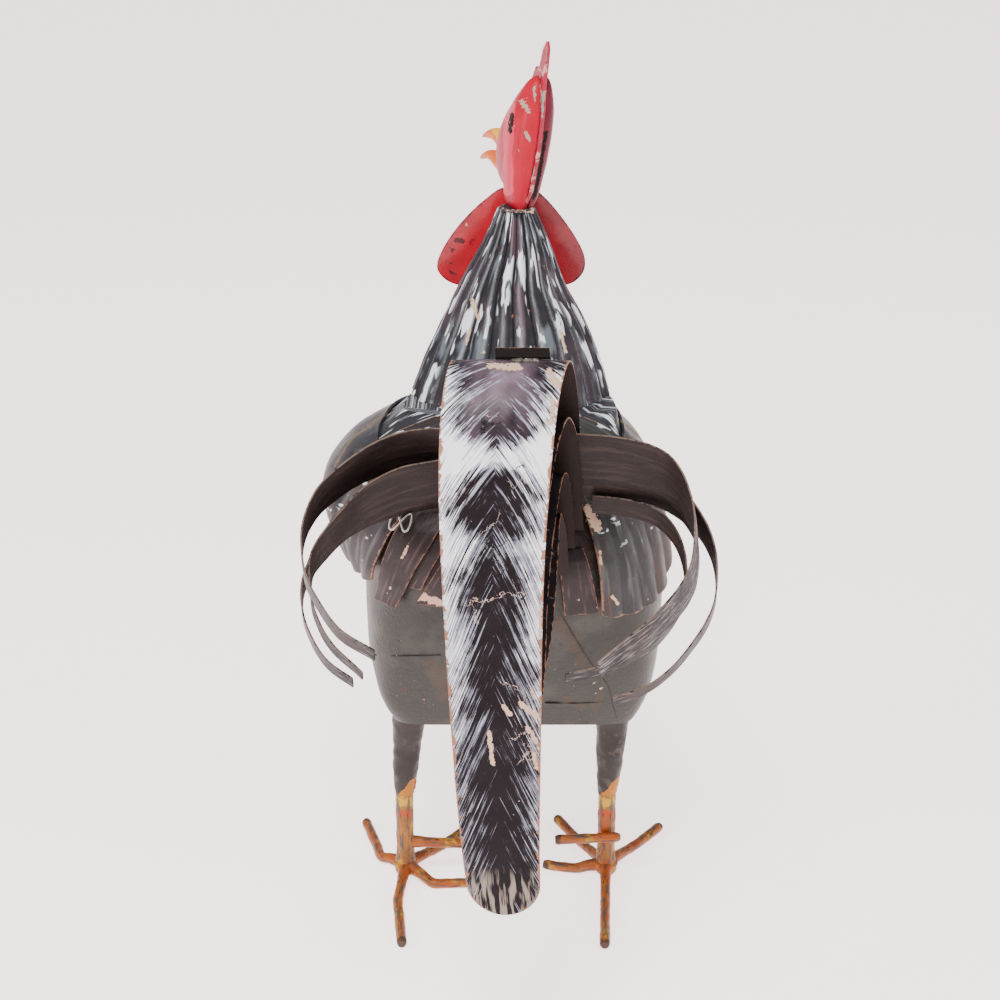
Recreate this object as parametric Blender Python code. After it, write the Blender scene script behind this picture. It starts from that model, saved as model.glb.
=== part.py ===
"""Iron garden rooster, welded from bent and painted sheet iron and rod.

The bird faces -Y and its tail falls towards +Y. +X is the bird's left side.
The free forms are drawn in millimetres for a bird DRAWN_HEIGHT tall and follow
HEIGHT through the unit U. Sheet, rod and clearance sizes are set by themselves.
"""

import math

import bmesh
import bpy
from mathutils import Vector

# Overall size: the free forms are drawn for a bird this many millimetres tall.
HEIGHT = 0.532
DRAWN_HEIGHT = 532.0
U = HEIGHT / DRAWN_HEIGHT

# Sheet, rod and clearance sizes in metres.
GAP = 0.0003
SHEET = 0.0015
DRAPE_CLEARANCE = 0.0018
LAYER = SHEET + DRAPE_CLEARANCE
FEATHER_SHEET = 0.0014
HEAD_PLATE = 0.0024
WATTLE_SHEET = 0.0022
TOE_ROD = 0.0066
SPUR_ROD = 0.0066
SHANK_ROD = 0.0115
WELD_COLLAR = 0.0146
WELD_COLLAR_HEIGHT = 0.0085
THIGH_TOP_WIDTH = 0.0238
PLEAT_DEPTH = 0.0022
HEAD_RIM = 0.0004
SHANK_CHAMFER = 0.0012
COLLAR_FILLET = 0.0035
THIGH_STEP = 0.0006
FEATHER_CROWN = -0.04

# Heights of the joints between the main forms, drawn millimetres.
THIGH_FOOT_Z = 62.0
BODY_BOTTOM_Z = 138.0
BODY_TOP_Z = 326.0
NECK_TOP_Z = 430.0

# Body outline rows from the flat bottom up: height, reach to the bird's left,
# right, front and back of the middle line, and how square the row is.
BODY_ROWS = (
    (BODY_BOTTOM_Z, 71.5, 79.0, 54.0, 55.0, 10.0),
    (145.0, 76.5, 83.5, 62.0, 58.0, 8.0),
    (158.0, 82.0, 89.0, 72.0, 63.0, 6.0),
    (180.0, 86.5, 93.5, 86.0, 71.0, 4.6),
    (207.0, 87.5, 95.0, 95.0, 80.0, 3.5),
    (235.0, 89.0, 95.0, 101.0, 87.0, 2.8),
    (258.0, 100.0, 93.0, 102.0, 89.0, 2.5),
    (280.0, 110.5, 90.0, 98.0, 83.0, 2.3),
    (299.0, 99.0, 80.0, 88.0, 67.0, 2.3),
    (314.0, 78.0, 69.0, 77.0, 42.0, 2.2),
    (BODY_TOP_Z, 63.5, 66.0, 76.0, 15.0, 2.1),
)

# Neck rows: height, middle x and y, half width and half depth.
NECK_ROWS = (
    (BODY_TOP_Z, -1.5, -31.0, 62.0, 44.0),
    (345.0, -2.5, -40.0, 55.0, 40.0),
    (364.0, -3.3, -49.0, 46.0, 35.0),
    (388.0, -2.7, -60.0, 32.5, 28.0),
    (411.0, -5.0, -70.5, 21.0, 20.5),
    (NECK_TOP_Z, -5.2, -79.0, 11.5, 14.0),
)
NECK_PLEATS = 20

# Draped sheets. Angles run from the bird's left side (0) over its back (90).
WING_LEFT_SPAN = (-68.0, 30.0)
WING_RIGHT_SPAN = (150.0, 248.0)
WING_TOP_Z = (296.0, 317.0)
WING_HEM_Z = (262.0, 236.0, 250.0)
SADDLE_LEFT_SPAN = (19.0, 39.0)
SADDLE_RIGHT_SPAN = (123.5, 161.0)
SADDLE_TOP_Z = 324.0
SADDLE_HEM = (
    (19.0, 250.0), (30.0, 243.0), (45.0, 243.0), (90.0, 240.0), (116.0, 232.0),
    (130.0, 226.0), (145.0, 228.0), (155.0, 238.0), (161.0, 250.0),
)

# Sheets over the rump fan out from the tail: how far they draw in at their top.
FAN_LEFT = 0.58
FAN_RIGHT = 0.84
FAN_FROM = 51.0
FAN_TO = 71.0

# Rump feathers: name, start and end angle at the hem, top and hem height, layer.
RUMP_FEATHERS = (
    ("rump_feather_left_1", 39.5, 49.0, 287.0, 229.0, 1),
    ("rump_feather_left_2", 49.5, 58.5, 290.0, 244.0, 0),
    ("rump_feather_left_3", 57.0, 67.0, 276.0, 236.0, 1),
    ("rump_feather_right_1", 111.0, 123.0, 269.0, 229.0, 0),
)

# Centre tail feathers: middle line from the rump over the arch to the tip, widths
# along it and the length of the round tip, drawn millimetres.
CENTRE_FEATHERS = (
    ("tail_feather_outer",
     ((-10.0, 74.0, 288.0), (-8.5, 86.0, 322.0), (-6.0, 104.0, 365.0), (-3.0, 122.0, 393.0),
      (0.0, 143.0, 403.5), (4.0, 166.0, 396.0), (7.0, 183.0, 371.0), (8.6, 191.0, 332.0),
      (8.6, 199.0, 280.0), (7.0, 208.0, 215.0), (5.0, 213.0, 155.0), (1.8, 216.0, 107.0)),
     (65.0, 65.0, 60.0, 53.0, 47.0, 39.0), 19.0),
    ("tail_feather_second",
     ((-12.0, 82.0, 281.0), (-10.5, 92.0, 312.0), (-8.5, 105.0, 346.0), (-4.5, 123.0, 365.0),
      (0.0, 142.0, 356.0), (3.5, 156.0, 325.0), (5.0, 168.0, 272.0), (5.0, 178.0, 205.0),
      (3.0, 184.0, 150.0)),
     (63.0, 60.0, 51.0, 46.0, 43.0, 34.0), 16.0),
    ("tail_feather_third",
     ((-12.0, 88.0, 272.0), (-10.0, 97.0, 300.0), (-7.5, 108.0, 324.0), (-5.0, 121.0, 330.0),
      (-2.5, 134.0, 316.0), (0.0, 146.0, 280.0), (1.0, 157.0, 235.0), (1.5, 165.0, 180.0)),
     (53.0, 53.0, 48.0, 44.0, 42.0, 34.0), 14.0),
    ("tail_feather_inner",
     ((-13.0, 93.0, 257.0), (-11.0, 101.0, 284.0), (-8.0, 111.0, 303.0), (-7.0, 121.0, 301.0),
      (-6.0, 131.0, 282.0), (-5.0, 140.0, 250.0), (-4.0, 147.0, 210.0)),
     (44.0, 44.0, 43.0, 42.0, 38.0, 28.0), 12.0),
)

# Side tail feathers bend in planes that lean back by this angle. Each has its
# side (1 left, -1 right), start height and depth, path out and back, and widths.
SIDE_LEAN = 65.0
SIDE_FEATHERS = (
    ("side_feather_left_upper", 1, 95.0, 336.0, 0.0,
     ((12.0, -0.5), (28.0, 0.5), (44.0, 1.5), (62.0, -2.0), (79.0, -11.0), (95.0, -26.0), (106.0, -42.0),
      (112.0, -66.0), (110.0, -90.0), (104.0, -107.0), (90.0, -132.0), (70.0, -148.0)),
     (30.0, 29.0, 24.0, 16.0, 11.0, 8.5)),
    ("side_feather_left_middle", 1, 98.0, 315.0, 0.0,
     ((24.0, 7.4), (32.0, 6.5), (44.0, 3.0), (64.0, -4.0), (83.0, -18.0), (98.0, -39.0),
      (107.5, -58.0), (108.0, -77.0), (104.0, -95.0), (96.0, -113.0), (77.0, -136.0)),
     (31.0, 35.0, 27.0, 16.0, 9.0, 6.0)),
    ("side_feather_left_lower", 1, 91.0, 303.0, 0.0,
     ((33.0, 9.5), (45.0, 8.5), (67.0, 2.0), (89.0, -13.0), (104.0, -36.0),
      (113.0, -61.0), (113.5, -78.0), (109.0, -96.0), (99.0, -116.0), (83.0, -131.0)),
     (34.0, 33.0, 25.0, 15.0, 9.0, 7.5)),
    ("side_feather_right_upper", -1, 93.5, 325.0, 8.0,
     ((4.0, 2.0), (44.0, 0.5), (74.0, -4.0), (90.0, -13.0), (99.5, -30.0), (103.0, -52.0),
      (100.0, -78.0), (93.0, -96.0), (80.0, -114.0), (64.0, -130.0), (47.0, -146.0)),
     (52.0, 52.0, 48.0, 28.0, 21.0, 14.0)),
    ("side_feather_right_outer", -1, 86.0, 309.0, 0.0,
     ((40.0, 11.5), (54.0, 10.0), (72.0, 5.0), (92.0, -7.0), (107.0, -27.0), (114.0, -50.0),
      (114.0, -76.0), (108.5, -97.0), (93.0, -124.0), (75.0, -143.0), (54.0, -153.0)),
     (30.0, 28.0, 18.0, 9.0, 7.0, 6.0)),
    ("side_feather_right_inner", -1, 82.0, 300.0, 0.0,
     ((48.0, -3.8), (60.0, -5.0), (74.0, -8.5), (86.5, -16.0), (95.0, -31.0), (98.5, -52.0),
      (96.0, -75.0), (88.5, -92.0), (77.0, -107.0), (60.0, -119.0), (45.0, -126.0), (30.0, -130.0)),
     (14.0, 14.0, 13.0, 11.0, 9.0, 7.5)),
)

# Head, drawn in its own plane: forward and up from the top of the neck.
HEAD_TURN = 22.0
HEAD_LEAN = 9.0
HEAD_FOOT_XY = (-7.5, -83.0)
HEAD_BULGE = 11.5
HEAD_FRONT = 32.0
HEAD_MIDDLE = (3.0, 48.0)
HEAD_OUTLINE = (
    (-7.0, -3.0), (-12.0, 12.0), (-14.0, 36.0), (-12.0, 60.0), (-7.0, 75.0), (-1.0, 80.5),
    (8.0, 75.0), (18.0, 65.0), (29.0, 52.0), (36.5, 36.0), (34.0, 18.0), (24.0, 9.5),
    (14.0, 6.0), (9.0, -3.0),
)
COMB_OUTLINE = (
    (-8.0, 0.0), (-14.0, 12.0), (-16.2, 36.0), (-14.2, 61.0), (-10.0, 76.0), (-9.0, 88.0),
    (-7.5, 98.0), (-4.5, 101.7), (-1.5, 97.0), (0.0, 87.0), (2.5, 84.0), (5.5, 85.0),
    (8.0, 79.0), (10.5, 75.0), (13.5, 75.0), (16.5, 70.0), (19.5, 65.0), (22.5, 64.5),
    (26.0, 58.0), (29.0, 54.0), (32.0, 48.0), (32.0, 15.0), (26.0, 9.5), (13.0, 8.0),
    (9.0, 0.0),
)
BEAK_UPPER = (
    (0.0, 31.5, 5.8, 6.3), (10.0, 33.4, 5.2, 5.2), (20.0, 33.8, 4.2, 4.1),
    (30.0, 32.2, 3.0, 3.0), (38.0, 29.6, 1.6, 1.6), (41.5, 28.0, 0.6, 0.7),
)
BEAK_LOWER = (
    (0.0, 17.5, 5.0, 4.4), (9.0, 19.0, 4.7, 4.1), (19.0, 20.2, 4.1, 3.5),
    (28.0, 19.2, 3.2, 2.8), (36.0, 16.4, 1.9, 1.8), (40.0, 14.5, 0.7, 0.8),
)

# Wattles: outlines in the x-z plane seen from behind, top edges under the head.
WATTLE_LEFT = (
    (-4.0, 437.0), (4.0, 437.0), (13.0, 430.5), (24.0, 420.0), (35.5, 405.5), (43.5, 391.0),
    (45.5, 381.0), (40.5, 373.5), (32.0, 369.5), (20.0, 370.0), (8.0, 379.0), (0.0, 395.0),
    (-3.0, 415.0),
)
WATTLE_RIGHT = (
    (-15.0, 437.0), (-7.0, 437.0), (-5.5, 415.0), (-9.0, 395.0), (-18.0, 379.0),
    (-31.0, 369.5), (-42.0, 371.0), (-49.0, 379.0), (-49.5, 389.0), (-44.0, 402.0),
    (-34.0, 417.5), (-23.0, 431.0),
)
WATTLE_Y = -104.5
WATTLE_TILT = 12.0
WATTLE_DISH = 3.0

# Strap tab on the crown of the outer tail feather.
STRAP_WIDTH = 29.0
STRAP_LENGTH = 13.0
STRAP_TILT = 4.0
STRAP_SIDE = -7.0
STRAP_WELD = 0.0012

# Legs: side, shank x, thigh top x, spur (height, reach, crosses the shank), then each
# toe's bend and tip (x, y).
LEGS = (
    ("left", 67.5, 62.0, (24.0, 47.5, False),
     (((84.0, -8.0), (97.0, -53.0)), ((48.0, -18.0), (22.0, -52.0)),
      ((49.0, 24.0), (20.0, 22.0)), ((71.0, 45.0), (66.5, 91.0)))),
    ("right", -65.0, -68.5, (33.0, 34.0, True),
     (((-84.0, -20.0), (-104.0, -47.0)), ((-51.0, -24.0), (-35.0, -57.0)),
      ((-46.0, 6.0), (-25.5, 0.5)), ((-63.0, 45.0), (-60.5, 92.5)))),
)
SHANK_Y = 5.5
TOE_NAMES = ("outer", "middle", "inner", "hind")
TOE_LIFT = 0.0035
TOE_SETBACK = 0.0009
SPUR_HEEL = 9.0
SPUR_DROP = 2.0

# Facet counts.
BODY_SIDES = 36
NECK_STEPS = 2
FEATHER_STEPS = 20
TIP_ANGLES = (20.0, 38.0, 54.0, 68.0, 80.0)
HEAD_RINGS = 5
ROD_SIDES = 8
SHANK_SIDES = 12

# Colours as the metal shows them: linear red, green, blue, with roughness.
PAINTS = {
    "olive_grey_iron": ((0.10, 0.095, 0.085), 0.55, 0.3),
    "slate_paint": ((0.075, 0.075, 0.085), 0.45, 0.2),
    "plum_primer": ((0.045, 0.030, 0.027), 0.6, 0.2),
    "black_feather": ((0.030, 0.025, 0.030), 0.4, 0.3),
    "red_paint": ((0.55, 0.03, 0.05), 0.4, 0.0),
    "beak_yellow": ((0.85, 0.45, 0.12), 0.45, 0.0),
    "thigh_iron": ((0.06, 0.055, 0.05), 0.6, 0.3),
    "ochre_leg": ((0.45, 0.20, 0.04), 0.5, 0.1),
}


def paint(name):
    """A Principled material of the named paint."""
    found = bpy.data.materials.get(name)
    if found:
        return found
    colour, roughness, metallic = PAINTS[name]
    made = bpy.data.materials.new(name)
    made.use_nodes = True
    shader = made.node_tree.nodes["Principled BSDF"]
    shader.inputs["Base Color"].default_value = (*colour, 1.0)
    shader.inputs["Roughness"].default_value = roughness
    shader.inputs["Metallic"].default_value = metallic
    return made


def add_object(name, points, faces, paint_name, root, smooth=math.radians(35)):
    """A named mesh object under the root, shaded smooth up to the given crease."""
    mesh = bpy.data.meshes.new(name)
    mesh.from_pydata([tuple(p) for p in points], [], faces)
    shape = bmesh.new()
    shape.from_mesh(mesh)
    bmesh.ops.recalc_face_normals(shape, faces=shape.faces)
    shape.to_mesh(mesh)
    shape.free()
    mesh.shade_smooth()
    mesh.set_sharp_from_angle(angle=smooth)
    mesh.materials.append(paint(paint_name))
    made = bpy.data.objects.new(name, mesh)
    bpy.context.scene.collection.objects.link(made)
    made.parent = root
    return made


def smooth_value(rows, t, column):
    """Catmull-Rom value of a column of rows at key t, where column 0 is the key."""
    last = len(rows) - 1
    i = 0
    while i < last - 1 and t > rows[i + 1][0]:
        i += 1
    low, high = rows[i], rows[i + 1]
    before, after = rows[max(i - 1, 0)], rows[min(i + 2, last)]
    span = high[0] - low[0]
    f = (t - low[0]) / span
    slope_low = (high[column] - before[column]) / (high[0] - before[0]) * span
    slope_high = (after[column] - low[column]) / (after[0] - low[0]) * span
    h1 = 2 * f**3 - 3 * f**2 + 1
    h2 = f**3 - 2 * f**2 + f
    h3 = -2 * f**3 + 3 * f**2
    h4 = f**3 - f**2
    return h1 * low[column] + h2 * slope_low + h3 * high[column] + h4 * slope_high


def stations(end_share=0.0):
    """Shares along a strip: even ones, then closer ones where a round tip starts."""
    shares = [i / FEATHER_STEPS * (1 - end_share) for i in range(FEATHER_STEPS + 1)]
    if end_share:
        shares += [1 - end_share * (1 - math.sin(math.radians(a))) for a in TIP_ANGLES]
    return shares


def curve_through(points, shares):
    """Samples, with tangents, of a smooth curve through the points at given shares."""
    keys = [0.0]
    for a, b in zip(points, points[1:]):
        keys.append(keys[-1] + (Vector(b) - Vector(a)).length)
    rows = [(k, *p) for k, p in zip(keys, points)]
    samples = []
    for share in shares:
        t = keys[-1] * share
        ahead = min(t + keys[-1] * 0.002, keys[-1])
        behind = max(ahead - keys[-1] * 0.004, 0.0)
        here = Vector([smooth_value(rows, t, c + 1) for c in range(len(points[0]))])
        front = Vector([smooth_value(rows, ahead, c + 1) for c in range(len(points[0]))])
        back = Vector([smooth_value(rows, behind, c + 1) for c in range(len(points[0]))])
        samples.append((here, (front - back).normalized()))
    return samples


def loft(rings, close_ends=True):
    """Points and faces of a tube through equal rings, with flat ends."""
    count = len(rings[0])
    points = [p for ring in rings for p in ring]
    faces = []
    for i in range(len(rings) - 1):
        for j in range(count):
            k = (j + 1) % count
            faces.append((i * count + j, i * count + k, (i + 1) * count + k, (i + 1) * count + j))
    if close_ends:
        faces.append(tuple(reversed(range(count))))
        faces.append(tuple(range((len(rings) - 1) * count, len(rings) * count)))
    return points, faces


def body_skin(angle, height):
    """Point of the body's outline at an angle in degrees and a drawn height."""
    left, right, front, back, square = (smooth_value(BODY_ROWS, height, c) for c in range(1, 6))
    c, s = math.cos(math.radians(angle)), math.sin(math.radians(angle))
    reach_x = left if c > 0 else right
    reach_y = back if s > 0 else front
    radius = ((abs(c) / reach_x) ** square + (abs(s) / reach_y) ** square) ** (-1 / square)
    return Vector((radius * c, radius * s, height)) * U


def draped(angle, height, out):
    """Point that lies a distance outside the body's skin, along its normal."""
    here = body_skin(angle, height)
    around = body_skin(angle + 0.5, height) - body_skin(angle - 0.5, height)
    low = max(height - 0.5, BODY_BOTTOM_Z)
    high = min(height + 0.5, BODY_TOP_Z)
    upward = body_skin(angle, high) - body_skin(angle, low)
    return here + around.cross(upward).normalized() * out


def body_rings(grow):
    """Rings of the body's skin, grown outwards by a distance."""
    heights = []
    for low, high in zip(BODY_ROWS, BODY_ROWS[1:]):
        heights += [low[0], (low[0] + high[0]) / 2]
    heights.append(BODY_TOP_Z)
    rings = []
    for height in heights:
        rings.append([draped(360 * i / BODY_SIDES, height, grow) for i in range(BODY_SIDES)])
    return rings


def make_body(root):
    """The closed bucket-shaped body, flat underneath and flat under the neck."""
    points, faces = loft(body_rings(0.0))
    return add_object("body", points, faces, "olive_grey_iron", root)


def make_body_cutter(root):
    """A hidden copy of the body, larger by the clearance, that trims what stands on it."""
    points, faces = loft(body_rings(GAP))
    cutter = add_object("body_cutter", points, faces, "olive_grey_iron", root)
    cutter.hide_render = True
    cutter.display_type = "WIRE"
    return cutter


def trim_with(made, cutter):
    """Cut away the part of an object that lies inside the cutter."""
    cut = made.modifiers.new("trim", "BOOLEAN")
    cut.operation = "DIFFERENCE"
    cut.solver = "EXACT"
    cut.object = cutter


def drape(name, columns, rows, edge, out, paint_name, root):
    """A sheet on the body. edge(u, v) gives angle, height and lift of each point."""
    inner = []
    outer = []
    for i in range(columns + 1):
        for j in range(rows + 1):
            angle, height, lift = edge(i / columns, j / rows)
            inner.append(draped(angle, height, out + lift))
            outer.append(draped(angle, height, out + lift + SHEET))
    across = rows + 1
    shift = len(inner)
    faces = []
    for i in range(columns):
        for j in range(rows):
            a = i * across + j
            quad = (a, a + across, a + across + 1, a + 1)
            faces.append(quad)
            faces.append(tuple(shift + k for k in reversed(quad)))
    rim = [i * across for i in range(columns + 1)]
    rim += [columns * across + j for j in range(1, rows + 1)]
    rim += [i * across + rows for i in range(columns - 1, -1, -1)]
    rim += [j for j in range(rows - 1, 0, -1)]
    for a, b in zip(rim, rim[1:] + rim[:1]):
        faces.append((a, shift + a, shift + b, b))
    return add_object(name, inner + outer, faces, paint_name, root)


def blend(low, high, f):
    """Straight mix of two values."""
    return low + (high - low) * f


def make_wing(name, span, root):
    """The plain wing sheet on one side, round at the shoulder and at its hem."""
    first, last = span
    tail_end = last if first < 0 else first
    front_end = first if first < 0 else last

    def edge(u, v):
        angle = blend(front_end, tail_end, u)
        round_off = abs(math.sin(math.pi * u)) ** 0.5
        top = blend(*WING_TOP_Z, round_off)
        hem = blend(WING_HEM_Z[0], blend(*WING_HEM_Z[1:], u), round_off)
        return angle, blend(top, hem, v), 0.0

    return drape(name, 12, 6, edge, DRAPE_CLEARANCE, "slate_paint", root)


def saddle_hem(angle):
    """Height of the saddle sheets' lower edge at an angle."""
    return smooth_value(SADDLE_HEM, angle, 1)


def fanned(angle, v):
    """Angle of a sheet's point that draws in towards the tail from hem to top."""
    away = angle - 90.0
    fan = FAN_LEFT if away < 0 else FAN_RIGHT
    spread = min(max((abs(away) - FAN_FROM) / (FAN_TO - FAN_FROM), 0.0), 1.0)
    return 90.0 + away * blend(blend(fan, 1.0, spread), 1.0, v)


def make_saddle(name, span, creases, root):
    """A pleated saddle sheet over the back, lying on the wing's upper edge."""
    first, last = span

    def edge(u, v):
        angle = blend(first, last, u)
        height = blend(SADDLE_TOP_Z, saddle_hem(angle), v)
        lift = PLEAT_DEPTH * abs(math.sin(math.pi * creases * u)) * v
        return fanned(angle, v), height, lift

    columns = creases * 3
    return drape(name, columns, 6, edge, DRAPE_CLEARANCE + LAYER, "slate_paint", root)


def make_rump_feather(name, first, last, top, hem, layer, root):
    """A cut strip that hangs over the rump from the foot of the tail."""
    def edge(u, v):
        return fanned(blend(first, last, u), v), blend(top, hem, v), 0.0

    out = DRAPE_CLEARANCE + layer * LAYER
    return drape(name, 2, 6, edge, out, "plum_primer", root)


def make_neck(root):
    """The pleated hackle cone that stands on the body and carries the head."""
    heights = []
    for low, high in zip(NECK_ROWS, NECK_ROWS[1:]):
        heights += [low[0], (low[0] + high[0]) / 2]
    heights.append(NECK_TOP_Z)
    sides = NECK_PLEATS * NECK_STEPS
    rings = []
    for height in heights:
        x, y, half_width, half_depth = (smooth_value(NECK_ROWS, height, c) for c in range(1, 5))
        foot = GAP if height == BODY_TOP_Z else 0.0
        full = half_width / NECK_ROWS[0][3]
        ring = []
        for i in range(sides):
            turn = 2 * math.pi * i / sides
            crease = PLEAT_DEPTH * (1 - abs(math.sin(NECK_PLEATS * turn / 2))) * full**0.5
            ring.append(Vector((
                x * U + (half_width * U - crease) * math.cos(turn),
                y * U + (half_depth * U - crease) * math.sin(turn),
                height * U + foot,
            )))
        rings.append(ring)
    points, faces = loft(rings)
    return add_object("neck", points, faces, "slate_paint", root, math.radians(50))


def strip(name, path, widths, axis, root, end_share=0.0, crown=0.0):
    """A bent feather strip: middle line, widths along it and width direction."""
    keys = [(i / (len(widths) - 1), w) for i, w in enumerate(widths)]
    shares = stations(end_share)
    rings = []
    for share, (centre, tangent) in zip(shares, curve_through(path, shares)):
        half = smooth_value(keys, share, 1) / 2
        if share > 1 - end_share:
            half *= (1 - (1 - (1 - share) / end_share) ** 2) ** 0.5
        out = tangent.cross(axis).normalized()
        thick = FEATHER_SHEET / 2
        lift = crown * half
        ring = [
            centre - axis * half - out * thick, centre + out * (lift - thick),
            centre + axis * half - out * thick, centre + axis * half + out * thick,
            centre + out * (lift + thick), centre - axis * half + out * thick,
        ]
        rings.append(ring)
    points, faces = loft(rings)
    return add_object(name, points, faces, "black_feather", root)


def make_centre_feather(name, path, widths, tip, root):
    """A tail feather that rises from the rump, arches over and hangs down."""
    points = [Vector(p) * U for p in path]
    length = sum((b - a).length for a, b in zip(points, points[1:]))
    return strip(name, points, [w * U for w in widths], Vector((1.0, 0.0, 0.0)), root,
                 end_share=tip * U / length, crown=FEATHER_CROWN)


def make_side_feather(name, side, start_y, start_z, splay, path, widths, root):
    """A tail feather bent round to one side, in a plane that leans back."""
    lean = math.radians(SIDE_LEAN)
    points = []
    for out, down in path:
        points.append((
            side * out * U,
            (start_y - down * math.sin(lean)) * U,
            (start_z + down * math.cos(lean)) * U,
        ))
    tilt = math.radians(splay)
    axis = Vector((-side * math.sin(tilt), math.cos(lean) * math.cos(tilt),
                   math.sin(lean) * math.cos(tilt)))
    return strip(name, points, [w * U for w in widths], axis.normalized(), root)


def make_strap_tab(root):
    """The short strap end on the crown of the outer tail feather."""
    crest = Vector(CENTRE_FEATHERS[0][1][4]) * U
    half = STRAP_WIDTH / 2 * U
    foot = crest + Vector((STRAP_SIDE * U, 0.0, FEATHER_SHEET / 2 + STRAP_WELD))
    slope = math.radians(STRAP_TILT)
    along = Vector((0.0, -math.cos(slope), math.sin(slope))) * STRAP_LENGTH * U
    up = Vector((0.0, math.sin(slope), math.cos(slope))) * SHEET
    rings = []
    for f in (0.0, 0.5, 1.0):
        here = foot + along * f
        rings.append([here - Vector((half, 0, 0)), here + Vector((half, 0, 0)),
                      here + Vector((half, 0, 0)) + up, here - Vector((half, 0, 0)) + up])
    points, faces = loft(rings)
    return add_object("tail_strap_tab", points, faces, "black_feather", root)


def head_frame():
    """Foot point and the forward, left and up directions of the turned head."""
    turn = math.radians(HEAD_TURN)
    lean = math.radians(HEAD_LEAN)
    forward = Vector((math.sin(turn), -math.cos(turn), 0.0))
    left = Vector((math.cos(turn), math.sin(turn), 0.0))
    up = Vector((0.0, 0.0, 1.0))
    foot = Vector((HEAD_FOOT_XY[0] * U, HEAD_FOOT_XY[1] * U, NECK_TOP_Z * U + GAP))
    return foot, forward, left, up, math.tan(lean)


def head_point(forward_mm, up_mm, out):
    """World point of a head outline point, moved out to the bird's left by metres."""
    foot, forward, left, up, lean = head_frame()
    height = up_mm * U
    return foot + forward * forward_mm * U + up * height + left * (out - height * lean)


def keep_side(made, point, normal):
    """Cut a mesh object flat at a plane, keep the side behind it and close it."""
    shape = bmesh.new()
    shape.from_mesh(made.data)
    parts = shape.verts[:] + shape.edges[:] + shape.faces[:]
    cut = bmesh.ops.bisect_plane(
        shape, geom=parts, dist=1e-7, plane_co=point, plane_no=normal, clear_outer=True)
    edges = [e for e in cut["geom_cut"] if isinstance(e, bmesh.types.BMEdge)]
    bmesh.ops.edgeloop_fill(shape, edges=edges)
    bmesh.ops.recalc_face_normals(shape, faces=shape.faces)
    shape.to_mesh(made.data)
    shape.free()
    made.data.set_sharp_from_angle(angle=math.radians(35))


def closed_curve(outline, count):
    """Evenly spaced points of a smooth closed curve through the outline."""
    ring = list(outline[-2:]) + list(outline) + list(outline[:3])
    keys = [0.0]
    for a, b in zip(ring, ring[1:]):
        keys.append(keys[-1] + (Vector(b) - Vector(a)).length)
    rows = [(k, *p) for k, p in zip(keys, ring)]
    start, end = keys[2], keys[2 + len(outline)]
    made = []
    for i in range(count):
        t = start + (end - start) * i / count
        made.append((smooth_value(rows, t, 1), smooth_value(rows, t, 2)))
    return made


def make_head_shell(name, side, root):
    """One domed half of the head, with its flat side against the comb plate."""
    outline = closed_curve(HEAD_OUTLINE, 32)
    middle = HEAD_MIDDLE
    base = HEAD_PLATE / 2 + GAP
    points = []
    for k in range(HEAD_RINGS):
        spread = math.cos(math.pi / 2 * k / HEAD_RINGS)
        rise = (1 - spread**2) ** 0.5
        for s, h in outline:
            out = base + HEAD_RIM + HEAD_BULGE * U * rise
            points.append(head_point(blend(middle[0], s, spread), blend(middle[1], h, spread),
                                     side * out))
    count = len(outline)
    points.append(head_point(*middle, side * (base + HEAD_BULGE * U)))
    flat = [head_point(s, h, side * base) for s, h in outline]
    faces = []
    for k in range(HEAD_RINGS - 1):
        for j in range(count):
            n = (j + 1) % count
            faces.append((k * count + j, k * count + n, (k + 1) * count + n, (k + 1) * count + j))
    top = HEAD_RINGS * count
    for j in range(count):
        n = (j + 1) % count
        faces.append(((HEAD_RINGS - 1) * count + j, (HEAD_RINGS - 1) * count + n, top))
        faces.append((top + 1 + j, top + 1 + n, n, j))
    points += flat
    faces.append(tuple(range(top + 1, top + 1 + count)))
    made = add_object(name, points, faces, "red_paint", root)
    foot, forward, left, up, lean = head_frame()
    keep_side(made, foot + forward * HEAD_FRONT * U, forward)
    keep_side(made, foot, -up)
    return made


def make_comb_plate(root):
    """The flat plate between the head halves: nape edge below, comb on top."""
    count = len(COMB_OUTLINE)
    points = [head_point(s, h, -HEAD_PLATE / 2) for s, h in COMB_OUTLINE]
    points += [head_point(s, h, HEAD_PLATE / 2) for s, h in COMB_OUTLINE]
    faces = [tuple(range(count)), tuple(range(2 * count - 1, count - 1, -1))]
    for j in range(count):
        n = (j + 1) % count
        faces.append((j, n, count + n, count + j))
    return add_object("comb_plate", points, faces, "red_paint", root)


def make_beak(name, rows, root):
    """A curved beak half, a horn of oval sections in front of the head."""
    rings = []
    for s, h, half_width, half_height in rows:
        ring = []
        for i in range(10):
            turn = 2 * math.pi * i / 10
            centre = head_point(HEAD_FRONT + s, h + half_height * math.sin(turn),
                                half_width * U * math.cos(turn))
            ring.append(centre + head_frame()[1] * GAP)
        rings.append(ring)
    points, faces = loft(rings)
    return add_object(name, points, faces, "beak_yellow", root)


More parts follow.
